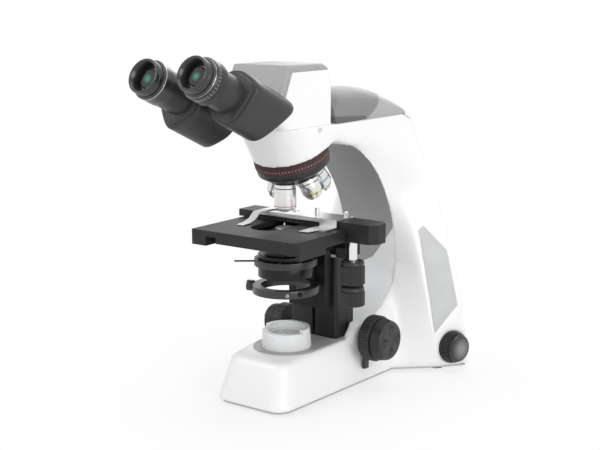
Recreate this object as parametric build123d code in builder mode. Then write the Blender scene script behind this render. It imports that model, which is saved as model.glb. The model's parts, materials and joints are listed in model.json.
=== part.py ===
from build123d import *
import os
from math import cos, radians, sin, sqrt, tan

# Upright binocular laboratory microscope: a cast stand with a C-shaped arm, a focusing stage with a
# mechanical slide holder, a focusing condenser, a tilted turret with four objectives and a hinged
# binocular head. Millimetres. The origin is the foot of the optical axis on the underside of the base
# plate, +Z up, the user sits on the -Y side, and +X is the user's right hand.

os.makedirs("parts", exist_ok=True)

# ---------------------------------------------------------------- clearances
RUN = 0.05  # radial clearance of a shaft in its hole
SLIP = 0.3  # gap between faces that slide or turn past each other
FIT = 0.15  # gap round a cover or an inlay in its recess

# ---------------------------------------------------------------- stand
WALL = 4.0  # casting wall
PLATE_T = 2.5  # steel plate under the base
PLATE_INSET = 4.0  # the plate lies inside the casting's edge
TRANSPORT_R = 3.0  # hole for the transport screw, on the optical axis
FOOT_T = 3.0  # rubber pads under the plate
FOOT_R = 10.0
FOOT_SPOTS = [(-34.0, -50.0), (34.0, -50.0), (-90.0, 200.0), (90.0, 200.0)]
BASE_TOP = 58.0  # top of the cast base round the lamp
BASE_FRONT = 77.0  # base front edge, ahead of the optical axis
BASE_HALF_FRONT = 52.0
BASE_HALF_REAR = 60.0
BASE_TOP_FRONT = 61.0
BASE_TOP_HALF_FRONT = 43.0
BASE_TOP_HALF_REAR = 50.0
BASE_CORNER_R = 17.0
BASE_EDGE_R = 9.0
BASE_BACK = 150.0  # where the base has merged with the legs

ARM_HALF = 45.0  # half width of the upper arm
ARM_BACK = 228.0  # back of the legs
ARM_TOP = 324.0  # top of the arm, where the head sits
NOSE_FRONT = 50.0  # front of the arm's nose, ahead of the optical axis
NOSE_CORNER_R = 26.0
NOSE_FLAT = 2.0  # half of the flat left between the nose's round corners at the turret
NOSE_DRAFT = 1.0  # the nose is narrower by this at its foot

THROAT_Y = 40.0  # centre of the C-shaped throat
THROAT_Z = 132.0
THROAT_A = 141.0  # depth of the throat
THROAT_UP = 168.0  # its height above and below that centre
THROAT_DOWN = 80.0
THROAT_HALF = 38.0  # half width of the grey lining
LINING_T = 3.0
LINING_TOP = 296.0

RIDGE_Z = 212.0  # the ridge of each leg leaves the vertical above this height
RIDGE_UP = 89.5
LEG_RIDGE_X = 105.0  # half width over the front ridges of the legs at the floor
LEG_REAR_X = 128.0  # half width over their rear corners
LEG_REAR_Y = 222.0
LEG_CORNER = 12.0  # width of the chamfer at each rear corner
LEG_TOP = 229.0  # where the ridge has closed in on the arm
REAR_TOP = 313.0  # where the rear corner has
REAR_LEAN = 10.0  # the back leans in by this much above LEG_TOP
FLARE_X = 60.0  # start of the flare at the floor
FLARE_Y = 141.0
FLARE_DIP = 0.5
FLARE_SHARE = 0.12  # place of the flare line between lining and ridge above the throat's centre
HOLLOW_TOP = 285.0
LEG_HEIGHTS = [25.0, BASE_TOP, 82.0, 106.0, THROAT_Z, 165.0, 198.0, LEG_TOP, 250.0, 268.0, HOLLOW_TOP]
ARM_HEIGHTS = [292.0, 300.0, 306.0, REAR_TOP]
ARM_RIDGE_HEIGHTS = [262.0, 275.0, HOLLOW_TOP, 292.0, 298.0, 301.0]
ARM_TOP_BACK = 187.0  # where the flat top ends
NOSE_BACK = 47.0

CAP_FRONT = 39.6
# grey cover along the top of the arm: depth from the front, height over the arm
CAP_STATIONS = [(CAP_FRONT, 41.0), (116.0, 37.0), (151.0, 32.0), (182.0, 20.0), (206.0, 2.0)]
CAP_T = 2.5
CAP_SKIRT = 16.0
POCKET_DEPTH = 20.0  # hollow in the arm under that cover
POCKET_HALF = 34.0
POCKET_FRONT = 60.0
POCKET_BACK = 172.0

PANEL_T = 1.5  # grey panels on the legs' side faces
PANEL_TURN = 34.8  # their outward direction, turned forwards from sideways
PANEL_CORNERS = [(194.5, 176.0), (201.7, 181.0), (230.4, 149.0), (240.5, 79.0), (206.0, 46.0)]
PANEL_GAP = 0.3

# ---------------------------------------------------------------- lamp
LAMP_R = 15.0
LAMP_TOP = 50.0
LIGHT_R = 17.0  # light path through the base and the collar
COLLAR_R = 29.9
COLLAR_TOP_R = 28.2
COLLAR_TOP = 82.0
COLLAR_STEP = 3.5  # the rim is lower at the front
FILTER_R = 22.6  # seat for a 45 mm filter
FILTER_DEPTH = 7.0
FIELD_LENS_R = 20.0
FIELD_LENS_LOW = 68.0
FIELD_LENS_T = 5.0
TOP_PLATE_R = 40.0
TOP_PLATE_T = 2.0
TOP_PLATE_PROUD = 0.6
TOP_PLATE_BACK = 73.0
TOP_PLATE_HALF_BACK = 42.0

# ---------------------------------------------------------------- lamp switch, dimmer and inlet
DIMMER_X = 107.0
DIMMER_Y = 203.0
DIMMER_Z = 27.0
DIMMER_TURN = 13.0  # the knob's axis turned forwards from sideways
DIMMER_R = 18.6
DIMMER_FACE_R = 16.5
DIMMER_T = 19.0
DIMMER_SHAFT_R = 3.0
DIMMER_SEAT_R = 20.5
DIMMER_SEAT_T = 4.0
DIMMER_BODY_T = 12.5
SWITCH_X = -40.0
SWITCH_Z = 40.0
SWITCH_HALF_W = 7.0
SWITCH_HALF_H = 10.5
SWITCH_T = 7.0
SWITCH_PIN_R = 1.2
SWITCH_PIN_L = 2.0
ROCKER_ANGLE = 14.0
INLET_X = 10.0
INLET_Z = 40.0
INLET_HALF_W = 14.0
INLET_HALF_H = 10.0
INLET_DEPTH = 22.0
INLET_FLANGE = 5.0
INLET_FLANGE_T = 2.0
INLET_WALL = 2.5
PIN_W = 2.0
PIN_H = 4.0
PIN_L = 14.0
PIN_SPREAD = 1.0

# ---------------------------------------------------------------- focus drive
COLUMN_HALF = 34.0
COLUMN_FRONT = 55.0
COLUMN_BACK = 92.0
COLUMN_TOP = 160.0
COLUMN_WALL = 4.0
COLUMN_EDGE_R = 4.0
COLUMN_TOP_R = 1.0
GROOVE_HALF = 2.0  # slot in the column for the web of the rack
SHAFT_Y = 83.0
SHAFT_Z = 60.0
COARSE_R = 5.0  # coarse shaft
FINE_R = 2.8  # fine shaft inside it
PINION_R = 6.0
PINION_HALF = 6.0
RACK_T = 5.0
RACK_LOW = 50.0
RACK_HIGH = 150.0
RACK_WEB_LOW = 105.0
BOSS_R = 17.0
BOSS_OUT = 0.8  # the bearing bosses stand this far beyond the base at the lever's foot
BOSS_LEFT_R = 9.0
TENSION_T = 4.5  # tension ring with its lever
TENSION_R = 13.0
TENSION_REACH = 41.0
TENSION_TIP_R = 4.0
TENSION_GAP = 1.0
COARSE_KNOB_R = 28.0
COARSE_KNOB_T = 15.5
COARSE_LEFT_R = 23.0  # the knobs on the left are smaller
KNOB_GROOVE = 1.0
FINE_KNOB_R = 26.0
FINE_KNOB_FACE_R = 23.5
FINE_LEFT_R = 20.5
FINE_LEFT_FACE_R = 18.5
FINE_KNOB_T = 15.0
KNOB_EDGE_R = 2.0
KNOB_OUT = 2.5  # the right coarse knob stands this far beyond the tension ring
KNOB_LEFT_OUT = 1.0  # the left one this far beyond its boss

# ---------------------------------------------------------------- stage
STAGE_TOP = 208.0
DECK_T = 6.0
RIM_T = 14.0
STAGE_LEFT = -67.0
STAGE_RIGHT = 84.0
STAGE_FRONT = -90.0
STAGE_BACK = 38.0
STAGE_RIM = 6.0
STAGE_CHAMFER = 6.0  # on the right front corner only
SKIRT_BACK = -35.0
SKIRT_DROP = 7.0
CORNER_BLOCK = (-46.0, -60.0)  # right and rear ends of the deeper block under the left front corner
CORNER_DROP = 4.0
NOTCH_RIGHT = -31.0  # notch in the front rim beside that block
NOTCH_H = 7.0
SLOT_Y = -8.0  # centre of the opening in the plate
SLOT_HALF = 20.0
SLOT_REACH = 45.0
CARRIAGE_HALF = 27.0  # carriage on the focus column
CARRIAGE_T = 13.6
CARRIAGE_LOW = 98.0
TABLE_LEFT = -45.0  # fixed table under the moving plate
TABLE_RIGHT = 66.0
TABLE_FRONT = -46.0
TABLE_TOP = 190.0
TABLE_T = 6.0
TABLE_HOLE_R = 34.0
RAIL_FRONT = -44.0
RAIL_BACK = 36.0
RAIL_W = 8.0
RAIL_XS = [-40.0, 52.0]
RIB_W = 4.0
RIB_LOW = 193.0

BLOCK_LEFT = -75.0  # guide of the slide holder
BLOCK_RIGHT = 122.0
BLOCK_FRONT = 5.0
BLOCK_BACK = 36.0
BLOCK_T = 8.4
HOUSING_LOW = 194.0
HOUSING_GAP = 0.5
HOUSING_CHAMFER = 8.0
DRIVE_X = 88.8
DRIVE_Y = 10.5
DRIVE_TUBE_R = 5.2
Y_SHAFT_R = 3.6
X_SHAFT_R = 1.9
SHAFT_TOP = 204.0
DRIVE_KNOB_R = 14.2
Y_KNOB_TOP = 172.0
Y_KNOB_T = 28.0
KNOB_CHAMFER = 1.5
X_KNOB_T = 23.0
DRIVE_GAP = 2.0

HOLDER_T = 1.6
HOLDER_LEFT = -44.0
HOLDER_RIGHT = 72.0
HOLDER_FRONT = 2.0
HOLDER_BACK = 35.0
HOLDER_ARM_W = 24.0
HOLDER_REACH = -21.0
POST_SPOTS = [(25.0, 29.0), (68.0, 27.0)]
POST_R = 2.6
POST_H = 6.5
FINGER_X = -17.0  # pivot of the sprung finger
FINGER_Y = 20.0
FINGER_PIN_R = 2.5
FINGER_HUB_R = 7.5
FINGER_T = 1.4
FINGER_W = 7.0
FINGER_DROP = (-31.0, -10.0)
FINGER_TIP = (-45.0, -20.0)

# ---------------------------------------------------------------- condenser
SLIDE_HALF = 12.0
SLIDE_FRONT = 35.5
SLIDE_LOW = 112.0
SLIDE_HIGH = 157.5
CARRIER_R = 40.0  # ring that carries a light filter under the condenser
CARRIER_T = 9.0
CARRIER_LOW = 125.0
CARRIER_BORE = 30.0
COND_DRUM_LOW = 145.0
COND_ARM_FRONT = 28.0  # arm from the drum to the slide
COND_ARM_GAP = 1.0
COND_R = 33.0
COND_NECK_LOW = 158.0
COND_NECK_R = 28.0
COND_NECK_TOP = 166.5
COND_FLANGE_TOP = 172.0
COND_CONE_R = 25.0
COND_CONE_TOP = 192.0
COND_TIP_R = 16.0
COND_TIP = 202.0
COND_LENS_R = 12.0
COND_LENS_T = 3.0
COND_LENS_CROWN = 1.0
COND_LIGHT_R = 14.0
APERTURE_R = 37.5
LEVER_R = 1.1
LEVER_REACH = 62.0
LEVER_ANGLE = 217.0
CLAMP_ANGLE = 200.0
CLAMP_Z = 129.5
CLAMP_STEM_R = 2.0
CLAMP_KNOB_R = 6.5
CLAMP_KNOB_T = 8.0
SCREW_ANGLES = [-50.0, -28.0]
SCREW_R = 2.4
SCREW_PROUD = 1.5
SCREW_DEPTH = 5.0
COND_KNOB_Z = 150.0
COND_KNOB_Y = 47.9
COND_KNOB_R = 10.0
COND_KNOB_T = 12.0
COND_STEM_R = 3.0
COND_STEM_IN = 19.0

# ---------------------------------------------------------------- nosepiece
APEX_Z = 320.0  # where every objective's axis meets the turret's axis
TURRET_TILT = 20.0
NOSE_S = 30.0  # distances from the apex along the turret's axis
SEAT_END = 34.0
DISC_S = 41.0
AXLE_END = 51.0
AXLE_R = 5.0
SEAT_R = 34.0
DISC_R = 38.0
GRIP_R = 44.8
TURRET_ROOM = 1.2  # room round the grip in the arm
BOWL_R = 43.5
DOME_R = 65.0
SHOULDER = 66.0  # from the apex along each objective's axis
PORT_BOSS_R = 12.5
THREAD_R = 10.0
THREAD_L = 5.0
BEAM_R = 7.5
PORT_STEP = 72.0
OBJECTIVE_4X = [(12.3, 66.0), (12.3, 71.0), (13.0, 71.0), (13.0, 94.0), (11.0, 95.6)]
OBJECTIVE_10X = [(12.3, 66.0), (12.3, 80.0), (8.6, 87.5), (6.5, 88.0), (6.0, 89.5)]
OBJECTIVE_20X = [(12.0, 66.0), (12.0, 82.0), (9.0, 90.0), (6.0, 93.0)]
OBJECTIVE_40X = [(12.0, 66.0), (12.0, 86.0), (8.0, 92.5), (5.0, 94.5), (3.8, 97.5)]
OBJECTIVE_100X = [(12.0, 66.0), (12.0, 84.0), (8.0, 92.0), (4.5, 94.0), (3.5, 97.5)]

# ---------------------------------------------------------------- head and binocular tubes
HEAD_HALF = 42.0
HEAD_REAR = 39.0
HEAD_TOP = 395.0
HEAD_FOOT_FRONT = -52.0
HEAD_CHIN_Z = 342.0
HEAD_WALL = 3.0
HEAD_COVER_T = 8.0
HEAD_REAR_R = 20.0
HEAD_EDGE_R = 8.0
DOVETAIL_R = 24.0
DOVETAIL_H = 8.0
LOCK_Y = 8.0
LOCK_Z = 320.0
LOCK_R = 2.5
EYE_INCLINE = 25.0
EYE_Y = -198.0  # middle of the line between the two eyecup rims
EYE_Z = 393.0
EYE_SPACING = 66.0
EYE_ROLL = 4.5  # the pair of tubes stands turned by this about its hinge, the right one up
SWING_R = 37.5  # from the hinge to each tube's axis
PIN_R = 6.0
PIN_CAP_R = 11.0
PIN_CAP_T = 3.5
PIN_STOP = 1.0  # front slab left under the blind hole of the hinge pin
KNUCKLE_R = 12.0
KNUCKLE_FRONT = 79.0
KNUCKLE_SPLIT = 107.5
PRISM_R = 30.0
PRISM_FRONT = 73.0  # distances behind the eyecup rim
PRISM_BACK = 138.0
PRISM_NECK_R = 23.2
PRISM_NECK_L = 6.0
PRISM_LOW_CUT = 22.0  # angle of the housings' inner faces about the hinge
EYETUBE_R = 20.5
EYETUBE_BORE = 15.2
EYETUBE_FRONT = 32.0
EYETUBE_BACK = 84.0
EYEPIECE_R = 21.8
EYE_RING_R = 22.0
EYE_RING_T = 3.0
EYEPIECE_FRONT = 11.0
EYEPIECE_STEM = 60.0
EYECUP_R = 19.5
EYECUP_BORE = 15.0
EYE_LENS_R = 11.0
EYE_LENS_S = 9.0
EYE_LENS_T = 4.0
DIOPTRE_R = 23.6
DIOPTRE_BACK = 32.5
EYECUP_EDGE_R = 1.8


def ellipse_y(z, centre_z, half_height):
    """Depth of the throat's side view at height z."""
    share = min(abs(z - centre_z) / half_height, 0.999)
    return THROAT_Y + THROAT_A * sqrt(1 - share**2)


def lining_y(z):
    """Depth of the lining's face at height z."""
    low = max(z, BASE_TOP)
    return ellipse_y(low, THROAT_Z, THROAT_UP if low > THROAT_Z else THROAT_DOWN)


def ridge_y(z):
    """Depth of the legs' front ridge at height z."""
    return ellipse_y(max(z, RIDGE_Z), RIDGE_Z, RIDGE_UP)


def leg_section(z, inset=0.0):
    """Plan of the legs and arm at height z, drawn in by inset."""
    ridge_x = ARM_HALF + (LEG_RIDGE_X - ARM_HALF) * (1 - min(z / LEG_TOP, 1) ** 1.25)
    rear_x = ARM_HALF + (LEG_REAR_X - ARM_HALF) * (1 - min(z / REAR_TOP, 1) ** 1.5)
    lean = REAR_LEAN * max(0.0, (z - LEG_TOP) / (REAR_TOP - LEG_TOP))
    deep = inset + (LINING_T if inset else 0.0)
    edge_y = lining_y(z)
    if z < THROAT_Z:
        share = z / THROAT_Z
        end_x = THROAT_HALF + FLARE_SHARE * (ridge_x - THROAT_HALF)
        flare_x = FLARE_X + (end_x - FLARE_X) * share
        flare_y = FLARE_Y + (THROAT_Y + THROAT_A - FLARE_DIP - FLARE_Y) * share
    else:
        flare_x = THROAT_HALF + FLARE_SHARE * (ridge_x - THROAT_HALF)
        flare_y = edge_y + FLARE_SHARE * (ridge_y(z) - edge_y) - FLARE_DIP
    half = [
        (THROAT_HALF - inset, edge_y + deep),
        (flare_x - inset, flare_y + deep),
        (ridge_x - 1.6 * inset, ridge_y(z) + deep),
        (rear_x - 1.2 * inset, LEG_REAR_Y - lean - inset),
        (rear_x - LEG_CORNER - inset, ARM_BACK - lean - inset),
    ]
    return half + [(-x, y) for x, y in reversed(half)]


def base_plan(z, front, half_front, half_rear):
    """Plan of the base at height z, wider at the back, with round front corners."""
    with BuildSketch(Plane.XY.offset(z)) as plan:
        corners = [(half_front, -front), (half_rear, BASE_BACK)]
        Polygon(*corners, *[(-x, y) for x, y in reversed(corners)], align=None)
        fillet(plan.vertices().group_by(Axis.Y)[0], BASE_CORNER_R)
    return plan.sketch


def base_half(y, z):
    """Half width of the base's side at depth y and height z."""
    low = BASE_HALF_FRONT + (BASE_HALF_REAR - BASE_HALF_FRONT) * (y + BASE_FRONT) / (BASE_BACK + BASE_FRONT)
    top_share = (y + BASE_TOP_FRONT) / (BASE_BACK + BASE_TOP_FRONT)
    top = BASE_TOP_HALF_FRONT + (BASE_TOP_HALF_REAR - BASE_TOP_HALF_FRONT) * top_share
    return low + (top - low) * (z - PLATE_T) / (BASE_TOP - PLATE_T)


def base_body(low, high, inset=0.0):
    """The base from height low to high, drawn in by inset."""
    with BuildPart() as body:
        add(base_plan(low, BASE_FRONT - inset, BASE_HALF_FRONT - inset, BASE_HALF_REAR - inset))
        add(base_plan(high, BASE_TOP_FRONT - inset, BASE_TOP_HALF_FRONT - inset, BASE_TOP_HALF_REAR - inset))
        loft()
        top_edges = body.faces().sort_by(Axis.Z)[-1].edges().sort_by(Axis.Y)[:-1]
        fillet(top_edges, BASE_EDGE_R)
    return body.part


def leg_body(heights, inset=0.0):
    """The legs and arm through plan sections at the given heights."""
    with BuildPart() as body:
        for z in heights:
            with BuildSketch(Plane.XY.offset(z)):
                Polygon(*leg_section(z, inset), align=None)
        loft(ruled=True)
    return body.part


def throat_profile(grow):
    """Side view of everything ahead of the lining's face, grown backwards by grow."""
    up, down, deep = THROAT_UP + grow, THROAT_DOWN + grow, THROAT_A + grow
    with BuildSketch(Plane.YZ) as side:
        with BuildLine():
            top = EllipticalCenterArc((THROAT_Y, THROAT_Z), deep, up, start_angle=0, arc_size=90)
            low = EllipticalCenterArc((THROAT_Y, THROAT_Z), deep, down, start_angle=270, arc_size=90)
            Line(top @ 1, low @ 0)
        make_face()
    return side.sketch_local


def save(piece, name):
    """Label a finished piece and write it."""
    piece.part.label = name
    export_step(piece.part, f"parts/{name}.step")


# ================================================================ stand
turret_axis = Vector(0, sin(radians(TURRET_TILT)), -cos(radians(TURRET_TILT)))
apex = Vector(0, 0, APEX_Z)
nose_plane = Plane(origin=apex + turret_axis * NOSE_S, x_dir=(1, 0, 0), z_dir=-turret_axis)
leg_outer = leg_body([PLATE_T] + LEG_HEIGHTS + ARM_HEIGHTS)

with BuildPart() as base_plate:
    inset_base = (BASE_FRONT - PLATE_INSET, BASE_HALF_FRONT - PLATE_INSET, BASE_HALF_REAR - PLATE_INSET)
    add(base_plan(0.0, *inset_base))
    with BuildSketch(Plane.XY):
        Polygon(*leg_section(0.0, PLATE_INSET), align=None)
    extrude(amount=PLATE_T)
    Cylinder(TRANSPORT_R, 3 * PLATE_T, mode=Mode.SUBTRACT)
save(base_plate, "base_plate")

with BuildPart() as rubber_feet:
    with Locations(*FOOT_SPOTS):
        Cylinder(FOOT_R, FOOT_T, align=(Align.CENTER, Align.CENTER, Align.MAX))
    fillet(rubber_feet.edges().group_by(Axis.Z)[0], FOOT_T / 3)
save(rubber_feet, "rubber_feet")

with BuildPart() as nose:
    with BuildSketch(Plane.XY.offset(ARM_TOP)) as nose_top:
        with Locations((0, (NOSE_BACK - NOSE_FRONT) / 2)):
            Rectangle(2 * ARM_HALF, NOSE_BACK + NOSE_FRONT)
        fillet(nose_top.vertices().group_by(Axis.Y)[0], NOSE_CORNER_R)
    with BuildSketch(nose_plane) as nose_low:
        low_half = ARM_HALF - NOSE_DRAFT
        with Locations((0, (NOSE_BACK - low_half) / 2)):
            Rectangle(2 * low_half, NOSE_BACK + low_half)
        fillet(nose_low.vertices().group_by(Axis.Y)[0], low_half - NOSE_FLAT)
    loft()

with BuildPart() as arm_block:
    with BuildSketch(Plane.YZ):
        under = [(ridge_y(z), z) for z in ARM_RIDGE_HEIGHTS]
        back = [(LEG_REAR_Y - REAR_LEAN, REAR_TOP), (LEG_REAR_Y - REAR_LEAN, HOLLOW_TOP)]
        front = [(NOSE_BACK, under[-1][1]), (THROAT_Y, under[-1][1]), (THROAT_Y, ARM_TOP)]
        Polygon((ARM_TOP_BACK, ARM_TOP), *back, *under, *front, align=None)
    extrude(amount=ARM_HALF, both=True)

with BuildPart() as lining_zone:
    with BuildSketch(Plane.YZ):
        add(throat_profile(LINING_T))
        with Locations((COLUMN_BACK / 2 + THROAT_A, (BASE_TOP + LINING_TOP) / 2)):
            Rectangle(2 * THROAT_A, LINING_TOP - BASE_TOP + 2 * FIT, mode=Mode.INTERSECT)
    extrude(amount=THROAT_HALF, both=True)

with BuildPart() as arm_insert:
    with BuildSketch(Plane.YZ):
        add(throat_profile(LINING_T))
        add(throat_profile(0.0), mode=Mode.SUBTRACT)
        with Locations((COLUMN_BACK / 2 + THROAT_A, (BASE_TOP + LINING_TOP) / 2)):
            Rectangle(2 * THROAT_A, LINING_TOP - BASE_TOP, mode=Mode.INTERSECT)
    extrude(amount=THROAT_HALF - FIT, both=True)
save(arm_insert, "arm_insert")

# Grey five-cornered panels let into the side faces of the legs.
panel_out = Vector(cos(radians(PANEL_TURN)), -sin(radians(PANEL_TURN)), 0)
panel_plane = Plane(origin=(0, 0, 0), x_dir=(-panel_out.Y, panel_out.X, 0), z_dir=panel_out)
with BuildPart() as side_panels:
    with BuildSketch(panel_plane):
        Polygon(*PANEL_CORNERS, align=None)
    extrude(amount=LEG_REAR_X, both=True)
    add(leg_outer, mode=Mode.INTERSECT)
    add(leg_outer.moved(Location(panel_out * -PANEL_T)), mode=Mode.SUBTRACT)
    add(side_panels.solids().sort_by(Axis.X)[-1], mode=Mode.INTERSECT)
    mirror(about=Plane.YZ)

with BuildPart() as panel_pockets:
    with BuildSketch(panel_plane):
        Polygon(*PANEL_CORNERS, align=None)
        offset(amount=PANEL_GAP, kind=Kind.INTERSECTION)
    extrude(amount=LEG_REAR_X, both=True)
    add(leg_outer.moved(Location(panel_out * -PANEL_T)), mode=Mode.SUBTRACT)
    add(panel_pockets.solids().sort_by(Axis.X)[-1], mode=Mode.INTERSECT)
    mirror(about=Plane.YZ)
save(side_panels, "side_panels")

top_plate_plane = Plane.XY.offset(BASE_TOP + TOP_PLATE_PROUD - TOP_PLATE_T)
with BuildSketch(top_plate_plane) as top_plate_plan:
    Circle(TOP_PLATE_R)
    Polygon(
        (-TOP_PLATE_R, 0),
        (TOP_PLATE_R, 0),
        (TOP_PLATE_HALF_BACK, TOP_PLATE_BACK),
        (-TOP_PLATE_HALF_BACK, TOP_PLATE_BACK),
        align=None,
    )
    with Locations((0, COLUMN_FRONT - FIT)):
        Rectangle(2 * (COLUMN_HALF + FIT), TOP_PLATE_R, align=(Align.CENTER, Align.MIN), mode=Mode.SUBTRACT)

dimmer_out = Vector(cos(radians(DIMMER_TURN)), -sin(radians(DIMMER_TURN)), 0)
dimmer_plane = Plane(origin=(DIMMER_X, DIMMER_Y, DIMMER_Z), x_dir=(0, 0, 1), z_dir=dimmer_out)
with BuildPart() as dimmer_seat:
    with BuildSketch(dimmer_plane.offset(-DIMMER_SEAT_T)):
        Circle(DIMMER_SEAT_R + WALL)
    extrude(amount=2 * DIMMER_T)
    add(leg_outer, mode=Mode.INTERSECT)

boss_x = base_half(SHAFT_Y, SHAFT_Z - TENSION_REACH) + BOSS_OUT
drive_plane = Plane(origin=(0, SHAFT_Y, SHAFT_Z), x_dir=(0, 1, 0), z_dir=(1, 0, 0))
back_plane = Plane(origin=(0, ARM_BACK, 0), x_dir=(-1, 0, 0), z_dir=(0, 1, 0))
switch_plane = Plane(origin=(SWITCH_X, ARM_BACK - WALL / 2, SWITCH_Z), x_dir=(0, 1, 0), z_dir=(1, 0, 0))
lock_plane = Plane(origin=(ARM_HALF, LOCK_Y, LOCK_Z), x_dir=(0, 1, 0), z_dir=(1, 0, 0))

with BuildPart() as stand_shell:
    add(base_body(PLATE_T, BASE_TOP))
    add(leg_outer)
    add(nose.part)
    add(arm_block.part)
    add(base_body(0.0, BASE_TOP - WALL, WALL), mode=Mode.SUBTRACT)
    add(leg_body([0.0] + LEG_HEIGHTS, WALL), mode=Mode.SUBTRACT)
    # bearing bosses of the focus shaft, on both sides of the column
    for side, boss_r in ((-1, BOSS_LEFT_R), (1, BOSS_R)):
        with BuildSketch(drive_plane.offset(side * boss_x)):
            Circle(boss_r)
        extrude(amount=-side * (boss_x - COLUMN_HALF - SLIP))
    add(dimmer_seat.part)
    # room for the turning grip where the arm reaches over it
    with BuildSketch(nose_plane):
        Circle(GRIP_R + TURRET_ROOM)
    extrude(amount=-(DISC_S - NOSE_S), mode=Mode.SUBTRACT)
    add(lining_zone.part, mode=Mode.SUBTRACT)
    add(panel_pockets.part, mode=Mode.SUBTRACT)
    with BuildSketch(top_plate_plane):
        add(top_plate_plan.sketch_local)
        offset(amount=FIT)
    extrude(amount=TOP_PLATE_T, mode=Mode.SUBTRACT)
    # light path from the lamp, and through the nose to the head
    with Locations((0, 0, BASE_TOP)):
        Cylinder(LIGHT_R, 2 * BASE_EDGE_R, mode=Mode.SUBTRACT)
    with Locations((0, 0, ARM_TOP)):
        Cylinder(LIGHT_R - WALL, 2 * (ARM_TOP - HOLLOW_TOP) + SEAT_R, mode=Mode.SUBTRACT)
        Cylinder(DOVETAIL_R + RUN, 2 * (DOVETAIL_H + RUN), mode=Mode.SUBTRACT)
    with BuildSketch(lock_plane):
        Circle(LOCK_R + RUN)
    extrude(amount=-(ARM_HALF - DOVETAIL_R), mode=Mode.SUBTRACT)
    # hollow under the arm's cover
    with Locations((0, POCKET_FRONT, ARM_TOP)):
        Box(
            2 * POCKET_HALF,
            POCKET_BACK - POCKET_FRONT,
            POCKET_DEPTH,
            align=(Align.CENTER, Align.MIN, Align.MAX),
            mode=Mode.SUBTRACT,
        )
    # rack and pinion slot, shaft groove and shaft bores
    with BuildSketch(Plane.XY.offset(BASE_TOP - WALL)):
        with Locations((0, SHAFT_Y - PINION_R - RACK_T - 2 * SLIP)):
            slot_l = 2 * PINION_R + RACK_T + 4 * SLIP
            Rectangle(2 * (PINION_HALF + 2 * SLIP), slot_l, align=(Align.CENTER, Align.MIN))
    extrude(amount=WALL, mode=Mode.SUBTRACT)
    with BuildSketch(drive_plane.offset(-COLUMN_HALF - SLIP)):
        Circle(COARSE_R + SLIP)
    extrude(amount=2 * (COLUMN_HALF + SLIP), mode=Mode.SUBTRACT)
    with BuildSketch(drive_plane.offset(-boss_x)):
        Circle(COARSE_R + RUN)
    extrude(amount=2 * boss_x, mode=Mode.SUBTRACT)
    # seat and bore of the dimmer knob
    with BuildSketch(dimmer_plane):
        Circle(DIMMER_SEAT_R)
    extrude(amount=2 * DIMMER_T, mode=Mode.SUBTRACT)
    with BuildSketch(dimmer_plane):
        Circle(DIMMER_SHAFT_R + RUN)
    extrude(amount=-2 * DIMMER_SEAT_T, mode=Mode.SUBTRACT)
    # openings for the power switch and the inlet
    with BuildSketch(back_plane):
        with Locations((-INLET_X, INLET_Z)):
            Rectangle(2 * INLET_HALF_W, 2 * INLET_HALF_H)
        with Locations((-SWITCH_X, SWITCH_Z)):
            Rectangle(2 * (SWITCH_HALF_W + SLIP), 2 * (SWITCH_HALF_H + SLIP))
    extrude(amount=-2 * WALL, mode=Mode.SUBTRACT)
    with BuildSketch(switch_plane.offset(-SWITCH_HALF_W - SWITCH_PIN_L)):
        Circle(SWITCH_PIN_R + SLIP)
    extrude(amount=2 * (SWITCH_HALF_W + SWITCH_PIN_L), mode=Mode.SUBTRACT)
save(stand_shell, "stand_shell")

with BuildPart() as base_top_plate:
    with BuildSketch(top_plate_plane):
        add(top_plate_plan.sketch_local)
        Circle(COLLAR_R + FIT, mode=Mode.SUBTRACT)
    extrude(amount=TOP_PLATE_T)
save(base_top_plate, "base_top_plate")

# Arched grey cover along the top of the arm.
with BuildPart() as arm_top_cover:
    for y, height in CAP_STATIONS:
        with BuildSketch(Plane.XZ.offset(-y)):
            with BuildLine():
                half = ARM_HALF - SLIP
                crown = EllipticalCenterArc((0, ARM_TOP), half, height, start_angle=0, arc_size=180)
                foot = ARM_TOP - CAP_SKIRT
                Polyline(crown @ 1, (-half, foot), (half, foot), crown @ 0)
            make_face()
    loft()
    add(arm_block.part, mode=Mode.SUBTRACT)
    add(nose.part, mode=Mode.SUBTRACT)
    add(leg_outer, mode=Mode.SUBTRACT)
    add(arm_top_cover.solids().sort_by(Axis.Z)[-1], mode=Mode.INTERSECT)

with BuildPart() as cap_hollow:
    for y, height in CAP_STATIONS[:-1]:
        with BuildSketch(Plane.XZ.offset(-y - CAP_T)):
            with BuildLine():
                crown = EllipticalCenterArc(
                    (0, ARM_TOP), ARM_HALF - SLIP - CAP_T, height - 2 * CAP_T, start_angle=0, arc_size=180
                )
                Line(crown @ 1, crown @ 0)
            make_face()
    loft()

with BuildPart() as arm_cover_shell:
    add(arm_top_cover.part)
    add(cap_hollow.part, mode=Mode.SUBTRACT)
save(arm_cover_shell, "arm_top_cover")

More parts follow.
